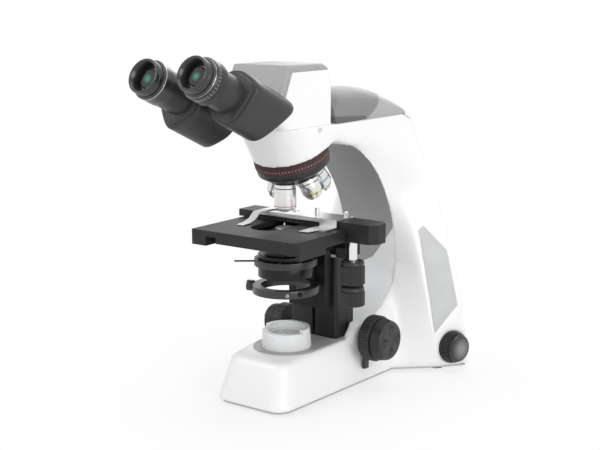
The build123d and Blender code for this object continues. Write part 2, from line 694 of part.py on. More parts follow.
# ================================================================ lamp
with BuildPart() as illuminator_collar:
    collar_low = BASE_TOP + TOP_PLATE_PROUD - TOP_PLATE_T
    with BuildSketch(Plane.XZ):
        Polygon(
            (LIGHT_R, collar_low),
            (COLLAR_R, collar_low),
            (COLLAR_R, BASE_TOP + TOP_PLATE_PROUD),
            (COLLAR_TOP_R, COLLAR_TOP),
            (FILTER_R, COLLAR_TOP),
            (FILTER_R, COLLAR_TOP - FILTER_DEPTH),
            (FIELD_LENS_R + RUN, COLLAR_TOP - FILTER_DEPTH),
            (FIELD_LENS_R + RUN, FIELD_LENS_LOW),
            (LIGHT_R, FIELD_LENS_LOW),
            align=None,
        )
    revolve(axis=Axis.Z)
    with Locations((0, -COLLAR_STEP, COLLAR_TOP - COLLAR_STEP)):
        Box(
            2 * COLLAR_R,
            COLLAR_R,
            COLLAR_STEP,
            align=(Align.CENTER, Align.MAX, Align.MIN),
            mode=Mode.SUBTRACT,
        )
save(illuminator_collar, "illuminator_collar")

with BuildPart() as field_lens:
    with Locations((0, 0, FIELD_LENS_LOW)):
        Cylinder(FIELD_LENS_R, FIELD_LENS_T, align=(Align.CENTER, Align.CENTER, Align.MIN))
    fillet(field_lens.edges().group_by(Axis.Z)[-1], FIELD_LENS_T / 2)
save(field_lens, "field_lens")

with BuildPart() as lamp_module:
    with Locations((0, 0, PLATE_T)):
        Cylinder(LAMP_R, LAMP_TOP - PLATE_T, align=(Align.CENTER, Align.CENTER, Align.MIN))
    fillet(lamp_module.edges().group_by(Axis.Z)[-1], LAMP_R / 3)
save(lamp_module, "lamp_module")

with BuildPart() as brightness_knob:
    with BuildSketch(dimmer_plane.offset(-DIMMER_SEAT_T)):
        Circle(DIMMER_SHAFT_R)
    extrude(amount=DIMMER_SEAT_T + SLIP)
    with BuildSketch(dimmer_plane.offset(SLIP)):
        Circle(DIMMER_R)
    extrude(amount=DIMMER_BODY_T)
    with BuildSketch(dimmer_plane.offset(SLIP + DIMMER_BODY_T)):
        Circle(DIMMER_FACE_R)
    extrude(amount=DIMMER_T - DIMMER_BODY_T)
    fillet(brightness_knob.edges().group_by(Axis(dimmer_plane.origin, dimmer_out))[-1], DIMMER_T / 4)
save(brightness_knob, "brightness_knob")

# Rocker of the power switch, at rest with its upper half pressed in.
with BuildPart() as power_switch:
    rocker_tilt = radians(ROCKER_ANGLE / 2)
    rocker_rise = SWITCH_HALF_H * tan(rocker_tilt)
    rocker_out = (0, cos(rocker_tilt), sin(rocker_tilt))
    rocker_plane = Plane(origin=switch_plane.origin, x_dir=rocker_out, z_dir=(1, 0, 0))
    face_x = WALL / 2
    with BuildSketch(rocker_plane.offset(-SWITCH_HALF_W)):
        Polygon(
            (face_x + rocker_rise, SWITCH_HALF_H - 2 * SLIP),
            (face_x, 0),
            (face_x + rocker_rise, -SWITCH_HALF_H + 2 * SLIP),
            (-face_x, -SWITCH_HALF_H + 2 * SLIP),
            (-SWITCH_T, -SWITCH_T / 2),
            (-SWITCH_T, SWITCH_T / 2),
            (-face_x, SWITCH_HALF_H - 2 * SLIP),
            align=None,
        )
    extrude(amount=2 * SWITCH_HALF_W)
    with BuildSketch(switch_plane.offset(-SWITCH_HALF_W - SWITCH_PIN_L + SLIP)):
        Circle(SWITCH_PIN_R)
    extrude(amount=2 * (SWITCH_HALF_W + SWITCH_PIN_L - SLIP))
save(power_switch, "power_switch")

with BuildPart() as power_inlet:
    with BuildSketch(back_plane):
        with Locations((-INLET_X, INLET_Z)):
            Rectangle(2 * (INLET_HALF_W + INLET_FLANGE), 2 * (INLET_HALF_H + INLET_FLANGE / 2))
    extrude(amount=INLET_FLANGE_T)
    with BuildSketch(back_plane):
        with Locations((-INLET_X, INLET_Z)):
            Rectangle(2 * (INLET_HALF_W - FIT), 2 * (INLET_HALF_H - FIT))
    extrude(amount=-INLET_DEPTH)
    with BuildSketch(back_plane.offset(INLET_FLANGE_T)):
        with Locations((-INLET_X, INLET_Z)):
            Rectangle(2 * (INLET_HALF_W - INLET_WALL), 2 * (INLET_HALF_H - INLET_WALL))
    extrude(amount=-INLET_DEPTH - INLET_FLANGE_T + INLET_WALL, mode=Mode.SUBTRACT)
    pin_step = (INLET_HALF_W - INLET_WALL) / 2 + PIN_SPREAD
    with BuildSketch(back_plane.offset(INLET_WALL - INLET_DEPTH)):
        with Locations((-INLET_X, INLET_Z)):
            with Locations((-pin_step, -1), (0, 2), (pin_step, -1)):
                Rectangle(PIN_W, PIN_H)
    extrude(amount=PIN_L)
save(power_inlet, "power_inlet")

# ================================================================ focus drive
with BuildPart() as focus_column:
    with BuildSketch(Plane.XY.offset(BASE_TOP)) as column_plan:
        with Locations((0, COLUMN_FRONT)):
            Rectangle(2 * COLUMN_HALF, COLUMN_BACK - COLUMN_FRONT, align=(Align.CENTER, Align.MIN))
        fillet(column_plan.vertices().group_by(Axis.Y)[0], COLUMN_EDGE_R)
    extrude(amount=COLUMN_TOP - BASE_TOP)
    with BuildSketch(Plane.XY.offset(BASE_TOP)):
        with Locations((0, COLUMN_FRONT + COLUMN_WALL)):
            inner_l = COLUMN_BACK - COLUMN_FRONT - 1.5 * COLUMN_WALL
            Rectangle(2 * (COLUMN_HALF - COLUMN_WALL), inner_l, align=(Align.CENTER, Align.MIN))
        with Locations((0, COLUMN_FRONT)):
            Rectangle(2 * GROOVE_HALF, COLUMN_WALL, align=(Align.CENTER, Align.MIN))
    extrude(amount=COLUMN_TOP - BASE_TOP - COLUMN_WALL, mode=Mode.SUBTRACT)
    with BuildSketch(drive_plane.offset(-COLUMN_HALF)):
        Circle(COARSE_R + SLIP)
    extrude(amount=2 * COLUMN_HALF, mode=Mode.SUBTRACT)
    fillet(focus_column.edges().group_by(Axis.Z)[-1], COLUMN_TOP_R)
save(focus_column, "focus_column")

coarse_knob_x = boss_x + TENSION_T + 2 * TENSION_GAP + KNOB_OUT
coarse_left_x = -(boss_x + KNOB_LEFT_OUT)
fine_step = COARSE_KNOB_T + KNOB_GROOVE
fine_knob_x = coarse_knob_x + fine_step
fine_left_x = coarse_left_x - fine_step

with BuildPart() as coarse_shaft:
    coarse_end = coarse_left_x - COARSE_KNOB_T
    coarse_l = coarse_knob_x + COARSE_KNOB_T - coarse_end
    with BuildSketch(drive_plane.offset(coarse_end)):
        Circle(COARSE_R)
    extrude(amount=coarse_l)
    with BuildSketch(drive_plane.offset(-PINION_HALF)):
        Circle(PINION_R)
    extrude(amount=2 * PINION_HALF)
    with BuildSketch(drive_plane.offset(coarse_end)):
        Circle(FINE_R + RUN)
    extrude(amount=coarse_l, mode=Mode.SUBTRACT)
save(coarse_shaft, "coarse_shaft")

with BuildPart() as coarse_knobs:
    for side, near, knob_r in ((1, coarse_knob_x, COARSE_KNOB_R), (-1, coarse_left_x, COARSE_LEFT_R)):
        with BuildSketch(drive_plane.offset(near)):
            Circle(knob_r)
            Circle(COARSE_R, mode=Mode.SUBTRACT)
        extrude(amount=side * COARSE_KNOB_T)
    rims = coarse_knobs.edges().filter_by(GeomType.CIRCLE).filter_by(lambda e: e.radius > PINION_R)
    fillet(rims, KNOB_EDGE_R)
save(coarse_knobs, "coarse_knobs")

with BuildPart() as fine_shaft:
    fine_end = fine_left_x - FINE_KNOB_T / 2
    with BuildSketch(drive_plane.offset(fine_end)):
        Circle(FINE_R)
    extrude(amount=fine_knob_x + FINE_KNOB_T / 2 - fine_end)
save(fine_shaft, "fine_shaft")

with BuildPart() as fine_knobs:
    fine_right = (1, fine_knob_x, FINE_KNOB_R, FINE_KNOB_FACE_R)
    fine_left = (-1, fine_left_x, FINE_LEFT_R, FINE_LEFT_FACE_R)
    for side, near, knob_r, face_r in (fine_right, fine_left):
        with BuildSketch(drive_plane.offset(near)):
            Circle(knob_r)
        with BuildSketch(drive_plane.offset(near + side * FINE_KNOB_T)):
            Circle(face_r)
        loft()
        with BuildSketch(drive_plane.offset(near)):
            Circle(FINE_R)
        extrude(amount=side * FINE_KNOB_T / 2, mode=Mode.SUBTRACT)
    rounds = fine_knobs.edges().filter_by(GeomType.CIRCLE)
    fillet([rounds.sort_by(Axis.X)[0], rounds.sort_by(Axis.X)[-1]], KNOB_EDGE_R)
save(fine_knobs, "fine_knobs")

with BuildPart() as tension_lever:
    with BuildSketch(drive_plane.offset(boss_x + TENSION_GAP)):
        Circle(TENSION_R)
        with Locations((0, -TENSION_REACH / 2)):
            Rectangle(2 * TENSION_TIP_R, TENSION_REACH)
        Circle(COARSE_R + SLIP, mode=Mode.SUBTRACT)
    extrude(amount=TENSION_T)
save(tension_lever, "tension_lever")

# ================================================================ stage
with BuildPart() as stage_bracket:
    carriage_back = COLUMN_FRONT - SLIP
    with Locations((0, carriage_back, CARRIAGE_LOW)):
        Box(
            2 * CARRIAGE_HALF,
            CARRIAGE_T,
            TABLE_TOP - CARRIAGE_LOW,
            align=(Align.CENTER, Align.MAX, Align.MIN),
        )
    with BuildSketch(Plane.XY.offset(TABLE_TOP - TABLE_T)):
        table_l = carriage_back - TABLE_FRONT
        with Locations(((TABLE_LEFT + TABLE_RIGHT) / 2, TABLE_FRONT + table_l / 2)):
            Rectangle(TABLE_RIGHT - TABLE_LEFT, table_l)
        Circle(TABLE_HOLE_R, mode=Mode.SUBTRACT)
    extrude(amount=TABLE_T)
    for rail_x in RAIL_XS:
        with Locations((rail_x, RAIL_FRONT, TABLE_TOP)):
            Box(
                RAIL_W,
                RAIL_BACK - RAIL_FRONT,
                STAGE_TOP - DECK_T - SLIP - TABLE_TOP,
                align=(Align.CENTER, Align.MIN, Align.MIN),
            )
    stem_x = -CARRIAGE_HALF
    with BuildSketch(Plane.YZ.offset(stem_x)):
        with Locations((COND_KNOB_Y, COND_KNOB_Z)):
            Circle(COND_STEM_R + RUN)
    extrude(amount=COND_STEM_IN + SLIP, mode=Mode.SUBTRACT)
save(stage_bracket, "stage_bracket")

with BuildPart() as focus_rack:
    rack_back = SHAFT_Y - PINION_R - SLIP
    with BuildSketch(Plane.XY.offset(RACK_LOW)):
        with Locations((0, rack_back - RACK_T)):
            Rectangle(2 * PINION_HALF, RACK_T, align=(Align.CENTER, Align.MIN))
    extrude(amount=RACK_HIGH - RACK_LOW)
    with BuildSketch(Plane.XY.offset(RACK_WEB_LOW)):
        with Locations((0, carriage_back)):
            web_l = rack_back - RACK_T - carriage_back
            Rectangle(2 * (GROOVE_HALF - SLIP), web_l, align=(Align.CENTER, Align.MIN))
    extrude(amount=RACK_HIGH - RACK_WEB_LOW)
save(focus_rack, "focus_rack")

with BuildPart() as stage_plate:
    stage_w = STAGE_RIGHT - STAGE_LEFT
    stage_l = STAGE_BACK - STAGE_FRONT
    stage_x = (STAGE_LEFT + STAGE_RIGHT) / 2
    stage_y = (STAGE_FRONT + STAGE_BACK) / 2
    with BuildSketch(Plane.XY.offset(STAGE_TOP)) as stage_plan:
        with Locations((stage_x, stage_y)):
            Rectangle(stage_w, stage_l)
        chamfer(stage_plan.vertices().group_by(Axis.Y)[0].sort_by(Axis.X)[-1], STAGE_CHAMFER)
    extrude(amount=-RIM_T)
    # room for the fixed table below, open towards the back
    with BuildSketch(Plane.XY.offset(STAGE_TOP - DECK_T)):
        with Locations((stage_x, STAGE_FRONT + STAGE_RIM)):
            Rectangle(stage_w - 2 * STAGE_RIM, stage_l, align=(Align.CENTER, Align.MIN))
    extrude(amount=-RIM_T, mode=Mode.SUBTRACT)
    # ribs that run along both sides of each rail
    for rail_x in RAIL_XS:
        for rib_x in (rail_x - RAIL_W / 2 - SLIP - RIB_W / 2, rail_x + RAIL_W / 2 + SLIP + RIB_W / 2):
            with Locations((rib_x, STAGE_FRONT + STAGE_RIM, STAGE_TOP - DECK_T)):
                Box(
                    RIB_W,
                    stage_l - STAGE_RIM,
                    STAGE_TOP - DECK_T - RIB_LOW,
                    align=(Align.CENTER, Align.MIN, Align.MAX),
                )
    # deeper block under the left front corner, with a notch in the rim beside it
    block_right, block_rear = CORNER_BLOCK
    with Locations((STAGE_LEFT, STAGE_FRONT, STAGE_TOP - DECK_T)):
        Box(
            block_right - STAGE_LEFT,
            block_rear - STAGE_FRONT,
            RIM_T + CORNER_DROP - DECK_T,
            align=(Align.MIN, Align.MIN, Align.MAX),
        )
    with Locations((block_right, STAGE_FRONT, STAGE_TOP - RIM_T)):
        Box(NOTCH_RIGHT - block_right, STAGE_RIM, NOTCH_H, align=Align.MIN, mode=Mode.SUBTRACT)
    # deeper wall along the front of the right side
    with Locations((STAGE_RIGHT, STAGE_FRONT + STAGE_CHAMFER, STAGE_TOP - RIM_T)):
        Box(
            STAGE_RIM,
            SKIRT_BACK - STAGE_FRONT - STAGE_CHAMFER,
            SKIRT_DROP,
            align=(Align.MAX, Align.MIN, Align.MAX),
        )
    with BuildSketch(Plane.XY.offset(STAGE_TOP)):
        with Locations((0, SLOT_Y)):
            SlotOverall(2 * SLOT_REACH, 2 * SLOT_HALF, rotation=90)
    extrude(amount=-DECK_T, mode=Mode.SUBTRACT)
save(stage_plate, "stage_plate")

block_top = STAGE_TOP + BLOCK_T
with BuildPart() as x_guide_block:
    with Locations((BLOCK_LEFT, BLOCK_FRONT, STAGE_TOP)):
        Box(BLOCK_RIGHT - BLOCK_LEFT, BLOCK_BACK - BLOCK_FRONT, BLOCK_T, align=Align.MIN)
    with Locations((STAGE_RIGHT + HOUSING_GAP, BLOCK_FRONT, HOUSING_LOW)):
        Box(
            BLOCK_RIGHT - STAGE_RIGHT - HOUSING_GAP,
            BLOCK_BACK - BLOCK_FRONT,
            STAGE_TOP - HOUSING_LOW,
            align=Align.MIN,
        )
    right_edges = x_guide_block.edges().filter_by(Axis.Z).sort_by(Axis.X)[-2:]
    chamfer(right_edges, HOUSING_CHAMFER)
    with Locations((DRIVE_X, DRIVE_Y, HOUSING_LOW)):
        Cylinder(
            Y_SHAFT_R + RUN,
            SHAFT_TOP - HOUSING_LOW + SLIP,
            align=(Align.CENTER, Align.CENTER, Align.MIN),
            mode=Mode.SUBTRACT,
        )
save(x_guide_block, "x_guide_block")

with BuildPart() as drive_column:
    with BuildSketch(Plane.XY.offset(Y_KNOB_TOP + SLIP)):
        with Locations((DRIVE_X, DRIVE_Y)):
            Circle(DRIVE_TUBE_R)
            Circle(Y_SHAFT_R + RUN, mode=Mode.SUBTRACT)
    extrude(amount=HOUSING_LOW - Y_KNOB_TOP - SLIP)
save(drive_column, "drive_column")

with BuildPart() as y_drive_knob:
    with BuildSketch(Plane.XY.offset(Y_KNOB_TOP - Y_KNOB_T)):
        with Locations((DRIVE_X, DRIVE_Y)):
            Circle(DRIVE_KNOB_R)
    extrude(amount=Y_KNOB_T)
    chamfer(y_drive_knob.edges().group_by(Axis.Z)[-1], KNOB_CHAMFER)
    with BuildSketch(Plane.XY.offset(Y_KNOB_TOP)):
        with Locations((DRIVE_X, DRIVE_Y)):
            Circle(Y_SHAFT_R)
    extrude(amount=SHAFT_TOP - Y_KNOB_TOP)
    with BuildSketch(Plane.XY.offset(Y_KNOB_TOP - Y_KNOB_T)):
        with Locations((DRIVE_X, DRIVE_Y)):
            Circle(X_SHAFT_R + RUN)
    extrude(amount=SHAFT_TOP - Y_KNOB_TOP + Y_KNOB_T, mode=Mode.SUBTRACT)
save(y_drive_knob, "y_drive_knob")

with BuildPart() as x_drive_knob:
    x_knob_top = Y_KNOB_TOP - Y_KNOB_T - DRIVE_GAP
    with BuildSketch(Plane.XY.offset(x_knob_top - X_KNOB_T)):
        with Locations((DRIVE_X, DRIVE_Y)):
            Circle(DRIVE_KNOB_R)
    extrude(amount=X_KNOB_T)
    chamfer(x_drive_knob.edges().group_by(Axis.Z)[-1], KNOB_CHAMFER)
    with BuildSketch(Plane.XY.offset(x_knob_top)):
        with Locations((DRIVE_X, DRIVE_Y)):
            Circle(X_SHAFT_R)
    extrude(amount=SHAFT_TOP - x_knob_top)
save(x_drive_knob, "x_drive_knob")

# Sheet holder that slides along the guide; its right arm steps down to the stage.
holder_low = block_top + SLIP
with BuildPart() as slide_holder:
    with Locations((HOLDER_LEFT, HOLDER_FRONT, holder_low)):
        Box(HOLDER_RIGHT - HOLDER_LEFT, HOLDER_BACK - HOLDER_FRONT, HOLDER_T, align=Align.MIN)
    with Locations((HOLDER_RIGHT - HOLDER_ARM_W, HOLDER_FRONT, STAGE_TOP + SLIP)):
        Box(HOLDER_ARM_W, HOLDER_T, BLOCK_T + HOLDER_T, align=Align.MIN)
    with Locations((HOLDER_RIGHT - HOLDER_ARM_W, HOLDER_REACH, STAGE_TOP + SLIP)):
        Box(HOLDER_ARM_W, HOLDER_FRONT - HOLDER_REACH, HOLDER_T, align=Align.MIN)
    with Locations((FINGER_X, FINGER_Y, holder_low + HOLDER_T)):
        Cylinder(FINGER_PIN_R, FINGER_T + 2 * SLIP, align=(Align.CENTER, Align.CENTER, Align.MIN))
save(slide_holder, "slide_holder")

with BuildPart() as holder_posts:
    with Locations(*[(x, y, holder_low + HOLDER_T) for x, y in POST_SPOTS]):
        Cylinder(POST_R, POST_H, align=(Align.CENTER, Align.CENTER, Align.MIN))
    chamfer(holder_posts.edges().group_by(Axis.Z)[-1], POST_R / 3)
save(holder_posts, "holder_posts")

# Sprung finger: a flat strip from its pivot, stepping down to a tip at stage level.
finger_low = holder_low + HOLDER_T + SLIP
with BuildPart() as spring_finger:
    with BuildSketch(Plane.XY.offset(finger_low)):
        with BuildLine():
            Line((FINGER_X, FINGER_Y), FINGER_DROP)
        trace(line_width=FINGER_W)
        with Locations((FINGER_X, FINGER_Y)):
            Circle(FINGER_HUB_R)
            Circle(FINGER_PIN_R + RUN, mode=Mode.SUBTRACT)
        with Locations(FINGER_DROP):
            Circle(FINGER_W / 2)
    extrude(amount=FINGER_T)
    with BuildSketch(Plane.XY.offset(STAGE_TOP + SLIP)):
        with Locations(FINGER_DROP):
            Circle(FINGER_W / 2)
    extrude(amount=finger_low - STAGE_TOP - SLIP)
    with BuildSketch(Plane.XY.offset(STAGE_TOP + SLIP)):
        with BuildLine():
            Line(FINGER_DROP, FINGER_TIP)
        trace(line_width=FINGER_W)
        with Locations(FINGER_DROP, FINGER_TIP):
            Circle(FINGER_W / 2)
    extrude(amount=FINGER_T)
save(spring_finger, "spring_finger")

# ================================================================ condenser
with BuildPart() as condenser_slide:
    with Locations((0, SLIDE_FRONT, SLIDE_LOW)):
        Box(
            2 * SLIDE_HALF,
            carriage_back - CARRIAGE_T - SLIP - SLIDE_FRONT,
            SLIDE_HIGH - SLIDE_LOW,
            align=(Align.CENTER, Align.MIN, Align.MIN),
        )
save(condenser_slide, "condenser_slide")


def radial_plane(angle, z):
    """Plane through the optical axis at height z, facing outwards at angle."""
    turn = radians(angle)
    return Plane(origin=(0, 0, z), x_dir=(0, 0, 1), z_dir=(cos(turn), sin(turn), 0))


clamp_plane = radial_plane(CLAMP_ANGLE, CLAMP_Z)
with BuildPart() as condenser_ring:
    with BuildSketch(Plane.XY.offset(CARRIER_LOW)):
        Circle(CARRIER_R)
        with Locations((0, SLIDE_FRONT)):
            Rectangle(4 * CARRIER_R, CARRIER_R, align=(Align.CENTER, Align.MIN), mode=Mode.SUBTRACT)
        Circle(CARRIER_BORE, mode=Mode.SUBTRACT)
    extrude(amount=CARRIER_T)
    with BuildSketch(clamp_plane.offset(CARRIER_BORE - SLIP)):
        Circle(CLAMP_STEM_R + RUN)
    extrude(amount=CARRIER_R, mode=Mode.SUBTRACT)
    for angle in SCREW_ANGLES:
        with BuildSketch(radial_plane(angle, CLAMP_Z).offset(CARRIER_R - SCREW_DEPTH)):
            Circle(SCREW_R)
        extrude(amount=CARRIER_R, mode=Mode.SUBTRACT)
save(condenser_ring, "condenser_ring")

with BuildPart() as carrier_screws:
    for angle in SCREW_ANGLES:
        with BuildSketch(radial_plane(angle, CLAMP_Z).offset(CARRIER_R - SCREW_DEPTH)):
            Circle(SCREW_R)
        extrude(amount=SCREW_DEPTH + SCREW_PROUD)
save(carrier_screws, "carrier_screws")

with BuildPart() as condenser_clamp:
    with BuildSketch(clamp_plane.offset(CARRIER_BORE + SLIP)):
        Circle(CLAMP_STEM_R)
    extrude(amount=CARRIER_R - CARRIER_BORE + SLIP)
    with BuildSketch(clamp_plane.offset(CARRIER_R + SLIP)):
        Circle(CLAMP_KNOB_R)
    extrude(amount=CLAMP_KNOB_T)
save(condenser_clamp, "condenser_clamp")

with BuildPart() as condenser_body:
    with BuildSketch(Plane.XZ):
        Polygon(
            (COND_LIGHT_R, COND_DRUM_LOW),
            (COND_R, COND_DRUM_LOW),
            (COND_R, COND_NECK_LOW),
            (COND_NECK_R, COND_NECK_LOW),
            (COND_NECK_R, COND_NECK_TOP),
            (COND_R, COND_NECK_TOP),
            (COND_R, COND_FLANGE_TOP),
            (COND_CONE_R, COND_FLANGE_TOP),
            (COND_CONE_R, COND_CONE_TOP),
            (COND_TIP_R, COND_TIP),
            (COND_LENS_R, COND_TIP),
            (COND_LENS_R, COND_TIP - COND_LENS_T),
            (COND_LIGHT_R / 2, COND_TIP - COND_LENS_T),
            (COND_LIGHT_R, COND_CONE_TOP - COND_LIGHT_R),
            align=None,
        )
    revolve(axis=Axis.Z)
    with Locations((0, COND_ARM_FRONT, COND_DRUM_LOW + COND_ARM_GAP)):
        Box(
            2 * SLIDE_HALF,
            SLIDE_FRONT - COND_ARM_FRONT,
            SLIDE_HIGH - COND_DRUM_LOW - 2 * COND_ARM_GAP,
            align=(Align.CENTER, Align.MIN, Align.MIN),
        )
save(condenser_body, "condenser_body")

with BuildPart() as condenser_lens:
    with Locations((0, 0, COND_TIP - COND_LENS_T)):
        lens_h = COND_LENS_T + COND_LENS_CROWN
        Cylinder(COND_LENS_R, lens_h, align=(Align.CENTER, Align.CENTER, Align.MIN))
    fillet(condenser_lens.edges().group_by(Axis.Z)[-1], 0.9 * COND_LENS_CROWN)
save(condenser_lens, "condenser_lens")

lever_z = (COND_NECK_LOW + COND_NECK_TOP) / 2
with BuildPart() as aperture_ring:
    with BuildSketch(Plane.XY.offset(COND_NECK_LOW + SLIP)):
        Circle(APERTURE_R)
        Circle(COND_NECK_R + RUN, mode=Mode.SUBTRACT)
    extrude(amount=COND_NECK_TOP - COND_NECK_LOW - 2 * SLIP)
    with BuildSketch(radial_plane(LEVER_ANGLE, lever_z).offset(APERTURE_R - LEVER_R)):
        Circle(LEVER_R)
    extrude(amount=LEVER_REACH - APERTURE_R)
save(aperture_ring, "aperture_ring")

with BuildPart() as condenser_focus_knob:
    with BuildSketch(Plane.YZ.offset(-COLUMN_HALF - 2 * SLIP - COND_KNOB_T)):
        with Locations((COND_KNOB_Y, COND_KNOB_Z)):
            Circle(COND_KNOB_R)
    extrude(amount=COND_KNOB_T)
    with BuildSketch(Plane.YZ.offset(-COLUMN_HALF - 2 * SLIP)):
        with Locations((COND_KNOB_Y, COND_KNOB_Z)):
            Circle(COND_STEM_R)
    extrude(amount=COND_STEM_IN + COLUMN_HALF - CARRIAGE_HALF)
save(condenser_focus_knob, "condenser_focus_knob")

# ================================================================ nosepiece
with BuildPart() as turret_seat:
    seat_plane = Plane(origin=apex + turret_axis * NOSE_S, x_dir=(1, 0, 0), z_dir=turret_axis)
    with BuildSketch(seat_plane):
        Circle(SEAT_R)
    extrude(amount=SEAT_END - NOSE_S)
    with BuildSketch(seat_plane.offset(SEAT_END - NOSE_S)):
        Circle(AXLE_R)
    extrude(amount=AXLE_END - SEAT_END)
    with Locations((0, 0, APEX_Z - NOSE_S)):
        Cylinder(BEAM_R, 2 * SEAT_R, mode=Mode.SUBTRACT)
save(turret_seat, "turret_seat")

turret_half = Plane(origin=apex, x_dir=(1, 0, 0), z_dir=(0, -turret_axis.Z, turret_axis.Y))
turret_top = SEAT_END + SLIP


def port_plane(number):
    """Plane at the apex facing along the axis of objective port number."""
    turn = radians(number * PORT_STEP)
    tilt = radians(TURRET_TILT)
    inward = Vector(0, turret_axis.Z, -turret_axis.Y)
    out = turret_axis * cos(tilt) + (inward * cos(turn) + Vector(-1, 0, 0) * sin(turn)) * sin(tilt)
    return Plane(origin=apex, z_dir=out)


ports = [port_plane(number) for number in range(5)]
with BuildPart() as turret:
    with BuildSketch(turret_half):
        with BuildLine():
            dome_y = sqrt(DOME_R**2 - BOWL_R**2)
            dome = RadiusArc((BOWL_R, dome_y), (0, DOME_R), -DOME_R)
            Polyline(
                dome @ 1,
                (0, AXLE_END + SLIP),
                (AXLE_R + RUN, AXLE_END + SLIP),
                (AXLE_R + RUN, turret_top),
                (DISC_R, turret_top),
                (DISC_R, DISC_S),
                (BOWL_R, DISC_S),
                dome @ 0,
            )
        make_face()
    revolve(axis=Axis(apex, turret_axis))
    for port in ports:
        with BuildSketch(port.offset(SHOULDER)):
            Circle(PORT_BOSS_R)
        extrude(amount=-THREAD_L)
    for port in ports:
        with BuildSketch(port.offset(SHOULDER)):
            Circle(THREAD_R)
        extrude(amount=-THREAD_L, mode=Mode.SUBTRACT)
        with BuildSketch(port.offset(SHOULDER)):
            Circle(BEAM_R)
        extrude(amount=-SHOULDER / 2, mode=Mode.SUBTRACT)
save(turret, "turret")

with BuildPart() as turret_grip:
    with BuildSketch(seat_plane.offset(SLIP)):
        Circle(GRIP_R)
        Circle(DISC_R, mode=Mode.SUBTRACT)
    extrude(amount=DISC_S - NOSE_S - SLIP)
save(turret_grip, "turret_grip")


def objective(number, steps):
    """Objective in port number: its thread, then (radius, distance from the apex) down the barrel."""
    profile = [(0, SHOULDER - THREAD_L), (THREAD_R, SHOULDER - THREAD_L), (THREAD_R, SHOULDER)]
    port = ports[number]
    half = Plane(origin=apex, x_dir=port.x_dir, z_dir=port.x_dir.cross(port.z_dir))
    with BuildPart() as barrel:
        with BuildSketch(half):
            Polygon(*profile, *steps, (0, steps[-1][1]), align=None)
        revolve(axis=Axis(apex, port.z_dir))
    return barrel


objective_4x = objective(0, OBJECTIVE_4X)
save(objective_4x, "objective_4x")
objective_100x = objective(2, OBJECTIVE_100X)
save(objective_100x, "objective_100x")
objective_40x = objective(3, OBJECTIVE_40X)
save(objective_40x, "objective_40x")
objective_10x = objective(4, OBJECTIVE_10X)
save(objective_10x, "objective_10x")
objective_20x = objective(1, OBJECTIVE_20X)
save(objective_20x, "objective_20x")

# ================================================================ head
tube_back = Vector(0, cos(radians(EYE_INCLINE)), -sin(radians(EYE_INCLINE)))
swing_v = -sqrt(SWING_R**2 - (EYE_SPACING / 2) ** 2)
level_eyes = Plane(origin=(0, EYE_Y, EYE_Z), x_dir=(1, 0, 0), z_dir=tube_back)
across = level_eyes.x_dir * cos(radians(EYE_ROLL)) - level_eyes.y_dir * sin(radians(EYE_ROLL))
hinge_foot = level_eyes.origin + level_eyes.y_dir * swing_v
eyes = Plane(origin=hinge_foot - tube_back.cross(across) * swing_v, x_dir=across, z_dir=tube_back)
face_point = Vector(0, EYE_Y, EYE_Z) + tube_back * (PRISM_BACK + SLIP)


def face_y(z):
    """Depth of the head's sloping front face at height z."""
    return face_point.Y + (z - face_point.Z) * tan(radians(EYE_INCLINE))


slab = HEAD_COVER_T / cos(radians(EYE_INCLINE))
with BuildPart() as head_form:
    with BuildSketch(Plane.YZ):
        Polygon(
            (HEAD_REAR, ARM_TOP),
            (HEAD_REAR, HEAD_TOP),
            (face_y(HEAD_TOP), HEAD_TOP),
            (face_y(HEAD_CHIN_Z), HEAD_CHIN_Z),
            (HEAD_FOOT_FRONT, ARM_TOP),
            align=None,
        )
    extrude(amount=HEAD_HALF, both=True)
    cross_edges = head_form.edges().filter_by(Axis.X)
    fillet(cross_edges.group_by(Axis.Z)[-1].sort_by(Axis.Y)[-1], HEAD_REAR_R)
    sides = head_form.edges().filter_by(GeomType.LINE)
    sides = sides.filter_by(lambda e: abs(e.tangent_at(0.5).X) < 0.1 and e.center().Z > ARM_TOP + SLIP)
    fillet(sides, HEAD_EDGE_R)

with BuildPart() as cover_zone:
    with BuildSketch(Plane.YZ):
        cut_z = HEAD_TOP - HEAD_COVER_T
        Polygon(
            (EYE_Y, HEAD_CHIN_Z),
            (face_y(HEAD_CHIN_Z) + slab, HEAD_CHIN_Z),
            (face_y(cut_z) + slab, cut_z),
            (2 * HEAD_REAR, cut_z),
            (2 * HEAD_REAR, 2 * HEAD_TOP),
            (EYE_Y, 2 * HEAD_TOP),
            align=None,
        )
    extrude(amount=2 * HEAD_HALF, both=True)

with BuildPart() as head_housing:
    add(head_form.part)
    add(cover_zone.part, mode=Mode.SUBTRACT)
    with Locations((0, 0, ARM_TOP)):
        Cylinder(DOVETAIL_R, DOVETAIL_H, align=(Align.CENTER, Align.CENTER, Align.MAX))
    with BuildSketch(Plane.YZ):
        front_in = slab + HEAD_WALL / cos(radians(EYE_INCLINE))
        Polygon(
            (HEAD_REAR - HEAD_WALL, ARM_TOP + HEAD_WALL),
            (HEAD_REAR - HEAD_WALL, cut_z - HEAD_REAR_R / 2),
            (HEAD_REAR - HEAD_REAR_R, cut_z - HEAD_WALL),
            (face_y(cut_z) + front_in, cut_z - HEAD_WALL),
            (face_y(HEAD_CHIN_Z) + front_in, HEAD_CHIN_Z),
            (HEAD_FOOT_FRONT + 2 * HEAD_WALL, ARM_TOP + HEAD_WALL),
            align=None,
        )
    extrude(amount=HEAD_HALF - HEAD_EDGE_R, both=True, mode=Mode.SUBTRACT)
    with Locations((0, 0, ARM_TOP)):
        Cylinder(LIGHT_R - WALL, 3 * DOVETAIL_H, mode=Mode.SUBTRACT)
save(head_housing, "head_housing")

